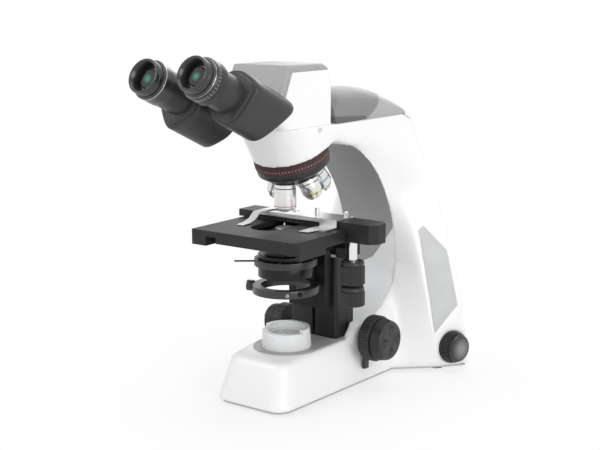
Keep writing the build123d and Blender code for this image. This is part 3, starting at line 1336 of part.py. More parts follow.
pin_end = PRISM_BACK + SLIP + HEAD_COVER_T - PIN_STOP
with BuildPart() as head_cover:
    add(head_form.part)
    add(cover_zone.part, mode=Mode.INTERSECT)
    with BuildSketch(eyes.offset(PRISM_BACK)):
        with Locations((0, swing_v)):
            Circle(PIN_R)
    extrude(amount=pin_end - PRISM_BACK, mode=Mode.SUBTRACT)
save(head_cover, "head_cover")

with BuildPart() as head_lock_screw:
    with BuildSketch(lock_plane.offset(SCREW_PROUD)):
        Circle(LOCK_R)
        RegularPolygon(LOCK_R / 2, 6, mode=Mode.SUBTRACT)
    extrude(amount=-2 * SCREW_PROUD)
    with BuildSketch(lock_plane.offset(-SCREW_PROUD)):
        Circle(LOCK_R)
    extrude(amount=-(ARM_HALF - DOVETAIL_R - SCREW_PROUD - 2 * RUN))
save(head_lock_screw, "head_lock_screw")

cap_front = KNUCKLE_FRONT - SLIP - PIN_CAP_T
with BuildPart() as hinge_pin:
    with BuildSketch(eyes.offset(cap_front)):
        with Locations((0, swing_v)):
            Circle(PIN_CAP_R)
    extrude(amount=PIN_CAP_T)
    with BuildSketch(eyes.offset(cap_front)):
        with Locations((0, swing_v)):
            Circle(PIN_R)
    extrude(amount=pin_end - cap_front)
save(hinge_pin, "hinge_pin")


def ring_solid(side, front, back, outer, bore=0.0):
    """Plain ring or disc on one tube's axis, between two distances behind the eyecup rim."""
    with BuildPart() as ring:
        with BuildSketch(eyes.offset(front)):
            with Locations((side * EYE_SPACING / 2, 0)):
                Circle(outer)
                if bore:
                    Circle(bore, mode=Mode.SUBTRACT)
        extrude(amount=back - front)
    return ring.part


def prism_housing(side):
    """Prism housing of one tube, with its knuckle on the common hinge pin."""
    reach = 3 * PRISM_R
    knuckle_front = KNUCKLE_FRONT if side > 0 else KNUCKLE_SPLIT + SLIP / 2
    knuckle_back = KNUCKLE_SPLIT - SLIP / 2 if side > 0 else PRISM_BACK - SLIP
    low = radians(PRISM_LOW_CUT)
    with BuildPart() as body:
        add(ring_solid(side, PRISM_FRONT, PRISM_BACK, PRISM_R))
        fillet(body.edges().filter_by(GeomType.CIRCLE), KNOB_EDGE_R)
        add(ring_solid(side, PRISM_FRONT - PRISM_NECK_L, PRISM_FRONT, PRISM_NECK_R))
        with BuildSketch(eyes.offset(PRISM_FRONT)):
            Polygon(
                (0, swing_v),
                (side * reach * sin(low), swing_v + reach * cos(low)),
                (-side * reach, swing_v + reach),
                (-side * reach, swing_v),
                align=None,
            )
        extrude(amount=PRISM_BACK - PRISM_FRONT, mode=Mode.SUBTRACT)
        for near, far in ((PRISM_FRONT, knuckle_front), (knuckle_back, PRISM_BACK)):
            with BuildSketch(eyes.offset(near)):
                with Locations((0, swing_v)):
                    Circle(KNUCKLE_R + SLIP)
            extrude(amount=far - near, mode=Mode.SUBTRACT)
        with BuildSketch(eyes.offset(knuckle_front)):
            with Locations((0, swing_v)):
                Circle(KNUCKLE_R)
        extrude(amount=knuckle_back - knuckle_front)
        with BuildSketch(eyes.offset(knuckle_front)):
            with Locations((0, swing_v)):
                Circle(PIN_R + RUN)
        extrude(amount=knuckle_back - knuckle_front, mode=Mode.SUBTRACT)
        add(ring_solid(side, PRISM_FRONT - PRISM_NECK_L, EYETUBE_BACK, EYETUBE_R), mode=Mode.SUBTRACT)
        add(ring_solid(side, EYETUBE_BACK, PRISM_BACK, EYETUBE_BORE), mode=Mode.SUBTRACT)
    return body


def eyetube(side):
    """Steel tube that joins a prism housing to its eyepiece."""
    with BuildPart() as body:
        add(ring_solid(side, EYETUBE_FRONT, EYETUBE_BACK, EYETUBE_R, EYETUBE_BORE))
    return body


def eyepiece(side, grip_r):
    """Eyepiece with its silver ring, grip and the stem that slides into the eyetube."""
    with BuildPart() as body:
        add(ring_solid(side, EYEPIECE_FRONT, EYEPIECE_FRONT + EYE_RING_T, EYE_RING_R))
        add(ring_solid(side, EYEPIECE_FRONT + EYE_RING_T, EYETUBE_FRONT, grip_r))
        add(ring_solid(side, EYETUBE_FRONT, EYEPIECE_STEM, EYETUBE_BORE - RUN))
        add(ring_solid(side, EYEPIECE_FRONT, EYE_LENS_S + EYE_LENS_T, EYE_LENS_R), mode=Mode.SUBTRACT)
        add(ring_solid(side, EYE_LENS_S + EYE_LENS_T, EYEPIECE_STEM, EYE_LENS_R - 2), mode=Mode.SUBTRACT)
    return body


def eye_lens(side):
    """Eye lens, domed towards the user."""
    with BuildPart() as body:
        add(ring_solid(side, EYE_LENS_S, EYE_LENS_S + EYE_LENS_T, EYE_LENS_R))
        fillet(body.edges().group_by(Axis(eyes.origin, eyes.z_dir))[0], EYE_LENS_T / 3)
    return body


def eyecup(side):
    """Rubber eyecup round the eye lens."""
    with BuildPart() as body:
        add(ring_solid(side, 0, EYEPIECE_FRONT, EYECUP_R, EYECUP_BORE))
        fillet(body.edges().group_by(Axis(eyes.origin, eyes.z_dir))[0], EYECUP_EDGE_R)
    return body


prism_housing_right = prism_housing(1)
save(prism_housing_right, "prism_housing_right")
prism_housing_left = prism_housing(-1)
save(prism_housing_left, "prism_housing_left")
eyetube_right = eyetube(1)
save(eyetube_right, "eyetube_right")
eyetube_left = eyetube(-1)
save(eyetube_left, "eyetube_left")
eyepiece_right = eyepiece(1, EYETUBE_R)
save(eyepiece_right, "eyepiece_right")
eyepiece_left = eyepiece(-1, EYEPIECE_R)
save(eyepiece_left, "eyepiece_left")
eye_lens_right = eye_lens(1)
save(eye_lens_right, "eye_lens_right")
eye_lens_left = eye_lens(-1)
save(eye_lens_left, "eye_lens_left")
eyecup_right = eyecup(1)
save(eyecup_right, "eyecup_right")
eyecup_left = eyecup(-1)
save(eyecup_left, "eyecup_left")

with BuildPart() as dioptre_ring:
    add(ring_solid(1, EYEPIECE_FRONT + EYE_RING_T + SLIP, DIOPTRE_BACK, DIOPTRE_R, EYETUBE_R + SLIP))
save(dioptre_ring, "dioptre_ring")
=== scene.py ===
import json
import math
from functools import partial

import bmesh
import bpy
import numpy as np
from mathutils import Matrix, Vector
from mathutils.kdtree import KDTree


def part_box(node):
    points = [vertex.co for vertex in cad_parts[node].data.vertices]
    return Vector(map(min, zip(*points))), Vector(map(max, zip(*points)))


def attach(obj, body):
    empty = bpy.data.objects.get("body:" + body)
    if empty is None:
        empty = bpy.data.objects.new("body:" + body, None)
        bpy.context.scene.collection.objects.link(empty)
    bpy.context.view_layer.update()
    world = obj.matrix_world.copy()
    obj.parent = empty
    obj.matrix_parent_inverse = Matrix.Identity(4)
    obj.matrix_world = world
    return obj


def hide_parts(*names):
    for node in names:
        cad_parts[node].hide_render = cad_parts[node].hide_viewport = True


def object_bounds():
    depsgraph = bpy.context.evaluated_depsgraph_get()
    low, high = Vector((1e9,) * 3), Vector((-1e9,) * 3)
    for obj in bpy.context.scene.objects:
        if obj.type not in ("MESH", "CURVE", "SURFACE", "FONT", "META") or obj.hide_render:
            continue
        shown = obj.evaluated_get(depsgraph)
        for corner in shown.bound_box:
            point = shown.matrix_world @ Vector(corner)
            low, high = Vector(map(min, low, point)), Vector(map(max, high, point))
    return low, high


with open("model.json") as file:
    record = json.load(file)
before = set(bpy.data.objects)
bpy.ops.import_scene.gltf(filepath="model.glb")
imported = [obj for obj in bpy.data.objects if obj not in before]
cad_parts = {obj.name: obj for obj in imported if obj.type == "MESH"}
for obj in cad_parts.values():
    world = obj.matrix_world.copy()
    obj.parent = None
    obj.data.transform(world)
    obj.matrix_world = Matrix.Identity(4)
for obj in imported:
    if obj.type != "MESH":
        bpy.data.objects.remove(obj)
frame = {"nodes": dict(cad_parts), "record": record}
cad_low, cad_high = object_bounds()
nodes = frame["nodes"]
joints = {joint["name"]: joint for joint in frame["record"]["behaviour"]["joints"]}

# ------------------------------------------------------------------ studio
# Pale paper under the instrument, two large soft boxes in front, weaker ones above and behind, and
# the camera on a tripod a little higher than the head, on the user's right.
CAMERA_AT = (0.83925, -1.0857, 0.4714)
CAMERA_TURN = 36.99
CAMERA_DOWN = 10.98
CAMERA_ROLL = -0.34
LENS = 71.196
SENSOR = 36.0
FLOOR_HALF = 4.0
SHADOW_MIDDLE = (0, 0.07, 0)
SHADOW_NEAR = 0.12
SHADOW_REACH = 0.34
SHADOW_SHARE = 0.3
AMBIENT = 0.52
SIGHT_RAYS = ("Is Camera Ray", "Is Glossy Ray", "Is Transmission Ray")
LIT_POINT = Vector((0, 0.05, 0.2))
SOFT_BOXES = {
    "key_box": ((-1.5, -1.9, 1.9), 1.6, 27.0),
    "fill_box": ((2.2, -0.9, 1.0), 1.6, 30.0),
    "top_box": ((0.2, 0.3, 2.4), 1.5, 16.0),
    "rear_box": ((-0.9, 2.1, 1.2), 1.2, 11.0),
}

camera = bpy.data.objects.new("camera", bpy.data.cameras.new("camera"))
bpy.context.collection.objects.link(camera)
bpy.context.scene.camera = camera
camera.data.sensor_width = SENSOR
camera.data.lens = LENS
camera.data.clip_start, camera.data.clip_end = 0.05, 50
turn, down = math.radians(CAMERA_TURN), math.radians(CAMERA_DOWN)
ahead = Vector((-math.sin(turn) * math.cos(down), math.cos(turn) * math.cos(down), -math.sin(down)))
camera.rotation_mode = "QUATERNION"
level = ahead.to_track_quat("-Z", "Y")
camera.rotation_quaternion = level @ Matrix.Rotation(math.radians(CAMERA_ROLL), 3, "Z").to_quaternion()
camera.location = CAMERA_AT

for name, (at, size, power) in SOFT_BOXES.items():
    lamp = bpy.data.lights.new(name, "AREA")
    lamp.shape, lamp.size, lamp.energy = "SQUARE", size, power
    box = bpy.data.objects.new(name, lamp)
    bpy.context.collection.objects.link(box)
    box.location = at
    box.rotation_euler = (LIT_POINT - Vector(at)).to_track_quat("-Z", "Y").to_euler()

scene = bpy.context.scene
scene.view_settings.view_transform = "Standard"


class Signal:
    """One output of a finish's node tree; sums with numbers or other signals add Math nodes."""

    def __init__(self, finish, out):
        self.finish, self.out = finish, out

    def maths(self, operation, *others):
        """This signal, with any others after it, through one Math node."""
        return self.finish.maths(operation, self, *others)

    def __add__(self, other):
        return self.maths("ADD", other)

    def __sub__(self, other):
        return self.maths("SUBTRACT", other)

    def __rsub__(self, other):
        return self.finish.maths("SUBTRACT", other, self)

    def __mul__(self, other):
        return self.maths("MULTIPLY", other)

    __radd__, __rmul__ = __add__, __mul__

    def __gt__(self, other):
        return self.maths("GREATER_THAN", other)

    def __lt__(self, other):
        return self.maths("LESS_THAN", other)


class Finish:
    """A named material with one principled shader; constants go on the shader's own sockets."""

    def __init__(self, name, **constants):
        self.material = bpy.data.materials.new(name)
        self.material.use_nodes = True
        self.tree = self.material.node_tree
        self.shader = self.tree.nodes["Principled BSDF"]
        for socket, value in constants.items():
            self.shader.inputs[socket.replace("_", " ")].default_value = value

    def node(self, kind, settings=None, inputs=None, out=0):
        """Adds a node, sets it up and returns one of its outputs."""
        made = self.tree.nodes.new(kind)
        for key, value in (settings or {}).items():
            setattr(made, key, value)
        for key, value in (inputs or {}).items():
            if isinstance(value, Signal):
                self.tree.links.new(value.out, made.inputs[key])
            else:
                made.inputs[key].default_value = value
        return Signal(self, made.outputs[out])

    def maths(self, operation, *terms):
        return self.node("ShaderNodeMath", {"operation": operation}, dict(enumerate(terms)))

    def feed(self, **sockets):
        """Links signals to the shader's sockets."""
        for socket, value in sockets.items():
            self.tree.links.new(value.out, self.shader.inputs[socket.replace("_", " ")])
        return self

    def place(self):
        """Where the surface is, in metres."""
        return self.node("ShaderNodeTexCoord", out="Object")

    def along(self, foot, direction):
        """How far the surface lies from foot along a direction, in metres."""
        inputs = {0: self.place(), 1: tuple(foot)}
        at = self.node("ShaderNodeVectorMath", {"operation": "SUBTRACT"}, inputs)
        inputs = {0: at, 1: tuple(direction)}
        return self.node("ShaderNodeVectorMath", {"operation": "DOT_PRODUCT"}, inputs, out="Value")

    def round_axis(self, foot, axis):
        """Turn about an axis, from -pi to pi, and distance from it."""
        first = axis.orthogonal().normalized()
        here = self.along(foot, first)
        there = self.along(foot, axis.cross(first))
        return there.maths("ARCTAN2", here), (here * here + there * there).maths("SQRT")

    def noise(self, scale, detail=3.0, stretch=(1, 1, 1)):
        """Even noise from 0 to 1, with scale features a metre."""
        at = self.node("ShaderNodeMapping", {}, {"Vector": self.place(), "Scale": stretch})
        return self.node("ShaderNodeTexNoise", {}, {"Vector": at, "Scale": scale, "Detail": detail})

    def mix(self, share, first, second):
        """Colour that goes from first to second as share goes from 0 to 1."""
        settings = {"data_type": "RGBA", "clamp_factor": True}
        return self.node("ShaderNodeMix", settings, {0: share, 6: first, 7: second}, out=2)

    def ramp(self, value, low, high):
        """Straight rise from 0 at low to 1 at high."""
        inputs = {"Value": value, "From Min": low, "From Max": high}
        return self.node("ShaderNodeMapRange", {}, inputs)

    def bump(self, height, strength, distance):
        """Normal of a surface raised by height, with its full rise in metres."""
        inputs = {"Height": height, "Strength": strength, "Distance": distance}
        return self.node("ShaderNodeBump", {}, inputs)


def grey(value, warmth=0.0):
    """Linear grey, a little warmer for positive warmth."""
    return (value * (1 + warmth), value, value * (1 - warmth), 1)


floor_mesh = bpy.data.meshes.new("floor")
half = FLOOR_HALF
corners = [(x, y, cad_low.z) for x, y in ((-half, -half), (half, -half), (half, half), (-half, half))]
floor_mesh.from_pydata(corners, [], [(0, 1, 2, 3)])
floor = bpy.data.objects.new("floor", floor_mesh)
bpy.context.collection.objects.link(floor)
paper = Finish("studio_paper", Base_Color=grey(0.86), Roughness=0.9)
rays = [paper.node("ShaderNodeLightPath", out=kind) for kind in SIGHT_RAYS]
sight = rays[0].maths("MAXIMUM", rays[1]).maths("MAXIMUM", rays[2])
away = paper.round_axis(SHADOW_MIDDLE, Vector((0, 0, 1)))[1]
glow = paper.node("ShaderNodeEmission", {}, {"Color": grey(1.0), "Strength": 1.0})
seen = sight * (paper.ramp(away, SHADOW_NEAR, SHADOW_REACH) * SHADOW_SHARE + (1 - SHADOW_SHARE))
matt = Signal(paper, paper.shader.outputs[0])
blend = paper.node("ShaderNodeMixShader", {}, {0: seen, 1: matt, 2: glow})
paper.tree.links.new(blend.out, paper.tree.nodes["Material Output"].inputs["Surface"])
floor_mesh.materials.append(paper.material)

world = bpy.data.worlds.new("world")
scene.world = world
world.use_nodes = True
sky = world.node_tree
background = sky.nodes["Background"]
path = sky.nodes.new("ShaderNodeLightPath")
level = path.outputs[SIGHT_RAYS[0]]
for kind in SIGHT_RAYS[1:]:
    either = sky.nodes.new("ShaderNodeMath")
    either.operation = "MAXIMUM"
    sky.links.new(level, either.inputs[0])
    sky.links.new(path.outputs[kind], either.inputs[1])
    level = either.outputs[0]
level_seen = sky.nodes.new("ShaderNodeMapRange")
level_seen.inputs["To Min"].default_value = AMBIENT
level_seen.inputs["To Max"].default_value = 1.0
sky.links.new(level, level_seen.inputs["Value"])
sky.links.new(level_seen.outputs["Result"], background.inputs["Strength"])
background.inputs["Color"].default_value = grey(1.0)


# ------------------------------------------------------------------ cast stand
# One aluminium casting for base, legs and arm, powder coated white: a satin skin with a faint
# orange peel. Its ridges are cast with generous rounds; edges beside inlays are crisp.
WHITE = grey(0.87, 0.002)
WHITE_DUST = grey(0.84, 0.006)
SKIN_VOXEL = 0.0019
SKIN_ROUNDS = 60
SKIN_NEAR = 0.003
SKIN_FAR = 0.016
SKIN_KEEP = 0.3
SKIN_STEP = 0.6
EDGE_SHARE = 0.04
SEAM = 1e-6
INLAYS = ["side_panels", "arm_insert", "arm_top_cover", "turret_grip", "base_top_plate", "base_plate"]
INLAYS += ["brightness_knob", "power_inlet", "power_switch", "focus_column", "head_housing", "head_cover"]

white_enamel = Finish("white_enamel", Coat_Roughness=0.15, Coat_Weight=0.2)
cloud = white_enamel.noise(14, 4)
white_enamel.feed(
    Base_Color=white_enamel.mix(cloud, WHITE, WHITE_DUST),
    Roughness=cloud * 0.1 + 0.34,
    Normal=white_enamel.bump(white_enamel.noise(900, 2), 0.08, 0.0002),
)


def edge_points(names, step=0.002):
    """Points along every sharp edge of carried parts."""
    points = []
    for name in names:
        mesh = nodes[name].data
        for edge in mesh.edges:
            start, end = (mesh.vertices[number].co for number in edge.vertices)
            count = int((end - start).length / step) + 1
            points += [start.lerp(end, k / count) for k in range(count)]
    return points


def evaluated(obj):
    """Mesh of an object with its modifiers applied."""
    graph = bpy.context.evaluated_depsgraph_get()
    return bpy.data.meshes.new_from_object(obj.evaluated_get(graph))


def weld_seams(obj):
    """Joins vertices that lie on each other."""
    weld = obj.modifiers.new("weld", "WELD")
    weld.merge_threshold = SEAM


def round_edges(obj, width, crease):
    """Breaks an object's sharp edges by a small round."""
    edge = obj.modifiers.new("edge", "BEVEL")
    edge.width, edge.segments, edge.limit_method = width, 2, "ANGLE"
    edge.angle_limit = math.radians(crease)
    edge.harden_normals = True


def join_piece(name, mesh, finish, body, slot, stands_for=(), crease=32.0, soften=0.0):
    """Links a made mesh as a piece that rides on a body and stands for CAD nodes."""
    mesh.materials.clear()
    mesh.materials.append(finish.material)
    mesh.shade_smooth()
    mesh.set_sharp_from_angle(angle=math.radians(crease))
    made = bpy.data.objects.new(name, mesh)
    bpy.context.collection.objects.link(made)
    if soften:
        round_edges(made, soften, crease)
    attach(made, body)
    if stands_for:
        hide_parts(*stands_for)
    return made


def cast_skin(name, source, finish, slot):
    """Rounds a carried casting's ridges, and leaves its edges beside inlays nearly as they are."""
    rough = bpy.data.objects.new(name + "_rough", nodes[source].data.copy())
    bpy.context.collection.objects.link(rough)
    weld_seams(rough)
    voxels = rough.modifiers.new("voxels", "REMESH")
    voxels.mode, voxels.voxel_size = "VOXEL", SKIN_VOXEL
    mesh = evaluated(rough)
    bpy.data.objects.remove(rough)
    points = edge_points(INLAYS)
    tree = KDTree(len(points))
    for number, point in enumerate(points):
        tree.insert(point, number)
    tree.balance()
    count = len(mesh.vertices)
    at = np.empty(count * 3)
    mesh.vertices.foreach_get("co", at)
    at = at.reshape(-1, 3)
    apart = np.array([tree.find(point)[2] for point in at])
    share = np.clip((apart - SKIN_NEAR) / (SKIN_FAR - SKIN_NEAR), EDGE_SHARE, 1)[:, None] * SKIN_STEP
    pairs = np.empty(len(mesh.edges) * 2, dtype=np.int32)
    mesh.edges.foreach_get("vertices", pairs)
    first, second = pairs[::2], pairs[1::2]
    near = np.bincount(pairs, minlength=count)[:, None]
    for _ in range(SKIN_ROUNDS):
        total = np.empty((count, 3))
        for column in range(3):
            total[:, column] = np.bincount(first, at[second, column], count)
            total[:, column] += np.bincount(second, at[first, column], count)
        at += share * (total / near - at)
    mesh.vertices.foreach_set("co", at.ravel())
    skin = join_piece(name, mesh, finish, "stand", slot, [source], crease=50)
    fewer = skin.modifiers.new("fewer", "DECIMATE")
    fewer.ratio = SKIN_KEEP


cast_skin("cast_stand", "stand_shell", white_enamel, "white_enamel")


# ------------------------------------------------------------------ base plate, feet and top plate
# Zinc plated steel closes the casting from below, on four rubber pads; the painted top plate round
# the lamp is let into the base.
def dress(finish, *names, soften=0.0, crease=32.0):
    """Gives carried parts their finish, and breaks their edges by a small round."""
    for name in names:
        part = nodes[name]
        part.data.materials.clear()
        part.data.materials.append(finish.material)
        if soften:
            weld_seams(part)
            round_edges(part, soften, crease)


def moulded(name, shade, rough, warmth=0.0, grain=1500, depth=0.12, spread=0.12, **constants):
    """Grained plastic or paint: a fine grain, with slightly uneven shade and gloss."""
    finish = Finish(name, **constants)
    cloud = finish.noise(45, 4)
    darker, lighter = grey(shade * (1 - spread), warmth), grey(shade * (1 + spread), warmth)
    return finish.feed(
        Base_Color=finish.mix(cloud, darker, lighter),
        Roughness=cloud * 0.14 + (rough - 0.07),
        Normal=finish.bump(finish.noise(grain, 2), depth, 0.0002),
    )


def machined(name, shade, rough, warmth=0.0, stretch=(1, 1, 1), **constants):
    """Bare or plated metal with fine tool marks."""
    finish = Finish(name, Metallic=1.0, **constants)
    marks = finish.noise(260, 5, stretch)
    return finish.feed(
        Base_Color=finish.mix(marks, grey(shade * 0.93, warmth), grey(shade, warmth)),
        Roughness=marks * 0.16 + (rough - 0.08),
        Normal=finish.bump(marks, 0.05, 0.0001),
    )


zinc = machined("zinc_sheet", 0.45, 0.42, stretch=(1, 9, 1))
pad_rubber = moulded("pad_rubber", 0.02, 0.7)
plate_paint = moulded("plate_paint", 0.36, 0.5)
dress(zinc, "base_plate")
dress(pad_rubber, "rubber_feet", soften=0.0004)
dress(plate_paint, "base_top_plate", soften=0.0003)

# ------------------------------------------------------------------ lamp
# Light grey moulded collar with a stepped rim, the field lens in its bore and the lamp module's
# black can below.
collar_moulding = moulded("collar_moulding", 0.72, 0.42, warmth=-0.012)
field_glass = Finish("field_glass", Coat_Weight=1.0, Coat_Roughness=0.03, IOR=1.5)
frost = field_glass.noise(300, 2)
field_glass.feed(
    Base_Color=field_glass.mix(frost, grey(0.3), grey(0.36, -0.02)),
    Roughness=frost * 0.1 + 0.12,
)
lamp_black = moulded("lamp_black", 0.03, 0.6)
dress(collar_moulding, "illuminator_collar", soften=0.0006)
dress(field_glass, "field_lens")
dress(lamp_black, "lamp_module")

# ------------------------------------------------------------------ lining, side panels and arm cover
# Grey moulded trim: the lining of the throat is darker above a slanting line and lighter below
# it, with painted shade darkening it towards the top; the five-cornered panels are pale and the
# arched cover closes the arm behind the head, with painted light and shade on its facets.
LINING_DARK = grey(0.30, -0.01)
LINING_LIGHT = grey(0.74, -0.012)
# Painted shade: the lining darkens towards its top, where it faces down, between the two heights below.
LINING_TOP_SHADE = grey(0.22, -0.01)
LINING_SHADE_FADE = (0.17, 0.30)
# The tone changes along a slanting line, steeper near the right edge: metres up per metre to the right,
# and height at the middle. The variable joint below holds that line's height, not a joint between parts.
TONE_LINE_SLOPE, TONE_LINE_HEIGHT = 0.5, 0.134
OUTER_SLOPE, OUTER_HEIGHT = 1.25, 0.1315
lining_trim = Finish("lining_trim")
right = lining_trim.along((0, 0, 0), (1, 0, 0))
height = lining_trim.along((0, 0, 0), (0, 0, 1))
joint = (right * TONE_LINE_SLOPE + TONE_LINE_HEIGHT).maths("MAXIMUM", right * OUTER_SLOPE + OUTER_HEIGHT)
grain = lining_trim.noise(1400, 2)
# Painted shade: darker towards the top of the lining.
shade = lining_trim.mix(lining_trim.ramp(height, *LINING_SHADE_FADE), LINING_DARK, LINING_TOP_SHADE)
lining_trim.feed(
    Base_Color=lining_trim.mix(lining_trim.ramp(joint - height, 0, 0.0012), shade, LINING_LIGHT),
    Roughness=lining_trim.noise(40) * 0.14 + 0.4,
    Normal=lining_trim.bump(grain, 0.1, 0.0002),
)
panel_trim = moulded("panel_trim", 0.53, 0.45, warmth=-0.012)
# Painted light and shade on the arched cover. Each pair is where a tone starts and where it is full, in
# metres: painted light on the rear facet, a painted shadow beside the head, and painted shade along the
# front part of the lower edge. The rear tip takes the casting's white.
REAR_PAINTED_LIGHT = (0.104, 0.109)
SIDE_PAINTED_SHADOW = (-0.64, -0.678)
FOOT_PAINTED_SHADE = (0.3355, 0.3335)
FOOT_SHADE_END = 0.103
TIP_TONE = (0.1905, 0.1925)
cover_trim = Finish("cover_trim")
behind = cover_trim.along((0, 0, 0), (0, 1, 0))
height = cover_trim.along((0, 0, 0), (0, 0, 1))
cloud = cover_trim.noise(40)
# Painted light: the rear facet is lighter.
rear = cover_trim.ramp(behind - (height - 0.325) * 2.0, *REAR_PAINTED_LIGHT)
# Painted shadow: darker next to the head.
shaded = cover_trim.ramp(behind - height * 2.018, *SIDE_PAINTED_SHADOW)
# Painted shade along the front part of the cover's lower edge.
low = cover_trim.ramp(height + behind * 0.06, *FOOT_PAINTED_SHADE)
shade = cover_trim.mix(shaded, grey(0.2, -0.012), grey(0.07))
shade = cover_trim.mix(rear, shade, grey(0.38, -0.014))
shade = cover_trim.mix(low * (behind < FOOT_SHADE_END), shade, grey(0.1))
tip = cover_trim.ramp(behind, *TIP_TONE)
cover_trim.feed(
    Base_Color=cover_trim.mix(tip, shade, WHITE),
    Roughness=cloud * 0.14 + 0.38,
    Normal=cover_trim.bump(cover_trim.noise(1400, 2), 0.1, 0.0002),
)
dress(lining_trim, "arm_insert", soften=0.0003)
dress(panel_trim, "side_panels", soften=0.0002)
dress(cover_trim, "arm_top_cover", soften=0.0006, crease=40)

# ------------------------------------------------------------------ dimmer, switch and inlet
# Black moulded knob with a ribbed rear and a domed face, lightened at its centre by a painted
# highlight, on the right rear foot; rocker switch and mains inlet on the back.
MM = 0.001


def mesh_of(name, points, faces):
    """Mesh with all its faces turned outwards."""
    mesh = bpy.data.meshes.new(name)
    mesh.from_pydata(points, [], faces)
    work = bmesh.new()
    work.from_mesh(mesh)
    bmesh.ops.recalc_face_normals(work, faces=work.faces)
    work.to_mesh(mesh)
    work.free()
    return mesh


def turned(name, body, foot, axis, stations, finish, slot, stands_for=(), sides=120, shape=None,
           zero=None, **how):
    """Piece of revolution: stations are (distance along the axis, radius) in millimetres.

    A shape callback moves each point; how goes on to join_piece.
    """
    axis = Vector(axis).normalized()
    first = (zero or axis.orthogonal()).normalized()
    other = axis.cross(first)
    points, rings = [], []
    for far, radius in stations:
        ring = []
        for k in range(sides if radius else 1):
            bend = 2 * math.pi * k / sides
            f, r = shape(bend, far, radius) if shape and radius else (far, radius)
            ring.append(len(points))
            out = first * math.cos(bend) + other * math.sin(bend)
            points.append(Vector(foot) + axis * (f * MM) + out * (r * MM))
        rings.append(ring)
    if stations[0][1] and stations[-1][1]:
        rings.append(rings[0])
    faces = []
    for near, far in zip(rings, rings[1:]):
        for k in range(sides):
            j = (k + 1) % sides
            if len(near) == 1:
                faces.append((near[0], far[j], far[k]))
            elif len(far) == 1:
                faces.append((near[k], near[j], far[0]))
            else:
                faces.append((near[k], near[j], far[j], far[k]))
    join_piece(name, mesh_of(name, points, faces), finish, body, slot, stands_for, **how)


def ribs(count, depth, low, high, wide=0.4):
    """Shape of a gripping surface: ribs along the axis between two distances."""

    def shape(bend, far, radius):
        if not low <= far <= high:
            return far, radius
        wave = min(max(wide + 1.3 * math.cos(count * bend), 0), 1)
        return far, radius - depth * (1 - wave)

    return shape


knob_black = moulded("knob_black", 0.03, 0.42, grain=2200, Specular_IOR_Level=0.38)
dimmer = joints["brightness_turn"]
dimmer_axis = Vector(dimmer["axis"])
dimmer_black = Finish("dimmer_black")
out = dimmer_black.along(dimmer["pos_m"], dimmer_axis)
spread = dimmer_black.round_axis(dimmer["pos_m"], dimmer_axis)[1]
grain = dimmer_black.noise(60, 4)
black = dimmer_black.mix(grain, grey(0.016), grey(0.028))
# Painted highlight: the centre of the domed face is lightened to grey.
face_highlight = dimmer_black.ramp(out, 0.0185, 0.0205) * dimmer_black.ramp(spread, 0.0155, 0.004)
dimmer_black.feed(
    Base_Color=dimmer_black.mix(face_highlight, black, grey(0.22)),
    Roughness=grain * 0.15 + 0.25,
)
turned(
    "dimmer_knob",
    "dimmer",
    dimmer["pos_m"],
    dimmer_axis,
    [(-4, 0), (-4, 3), (0.3, 3), (0.3, 18.4), (1, 19.4), (14, 19.4), (14.8, 18.6)]
    + [(14.8, 17.4), (18.5, 17.4), (20.4, 16.2), (21.4, 13.5), (21.9, 9), (22, 4), (22, 0)],
    dimmer_black,
    "black_plastic",
    ["brightness_knob"],
    sides=432,
    shape=ribs(36, 1.5, 0.5, 14.5, 0.2),
)
switch_black = moulded("switch_black", 0.03, 0.35)
dress(switch_black, "power_switch", soften=0.0003)
dress(switch_black, "power_inlet", soften=0.0004)

# ------------------------------------------------------------------ focus drive
# Black painted column with the rack slot, and ribbed moulded knobs on both ends of the coaxial
# shafts; each fine knob has a ring of finger dimples in its face. The lever sets the tension.
column_paint = moulded("column_paint", 0.02, 0.42, grain=1800, Specular_IOR_Level=0.26)
shaft_steel = machined("shaft_steel", 0.6, 0.28, stretch=(1, 12, 12))
dress(column_paint, "focus_column", soften=0.0008)
dress(shaft_steel, "coarse_shaft", "fine_shaft")
lever_black = moulded("lever_black", 0.03, 0.5)
dress(lever_black, "tension_lever", soften=0.0008)

DIMPLES = 4
DIMPLE_RING = 13.5
DIMPLE_HALF = 6.5
DIMPLE_NARROW = 4.2
DIMPLE_DEPTH = 3.4
FINE_FACE = 13.5
COARSE_THICK = 15.5
FINE_THICK = 15.0
coarse_low, coarse_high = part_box("coarse_knobs")
fine_low, fine_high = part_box("fine_knobs")
shaft = Vector(joints["coarse_turn"]["pos_m"])


def dimpled(bend, far, radius):
    """Finger dimples pressed into a fine knob's face."""
    if far < FINE_FACE:
        return ribs(72, 0.7, 0.5, 11)(bend, far, radius)
    reach = abs(radius - DIMPLE_RING) / DIMPLE_HALF
    angle = (bend * DIMPLES / (2 * math.pi)) % 1 - 0.5
    dip = max(0.0, 1 - (reach**2 + (angle * DIMPLE_NARROW) ** 2))
    return far - DIMPLE_DEPTH * dip**0.6, radius


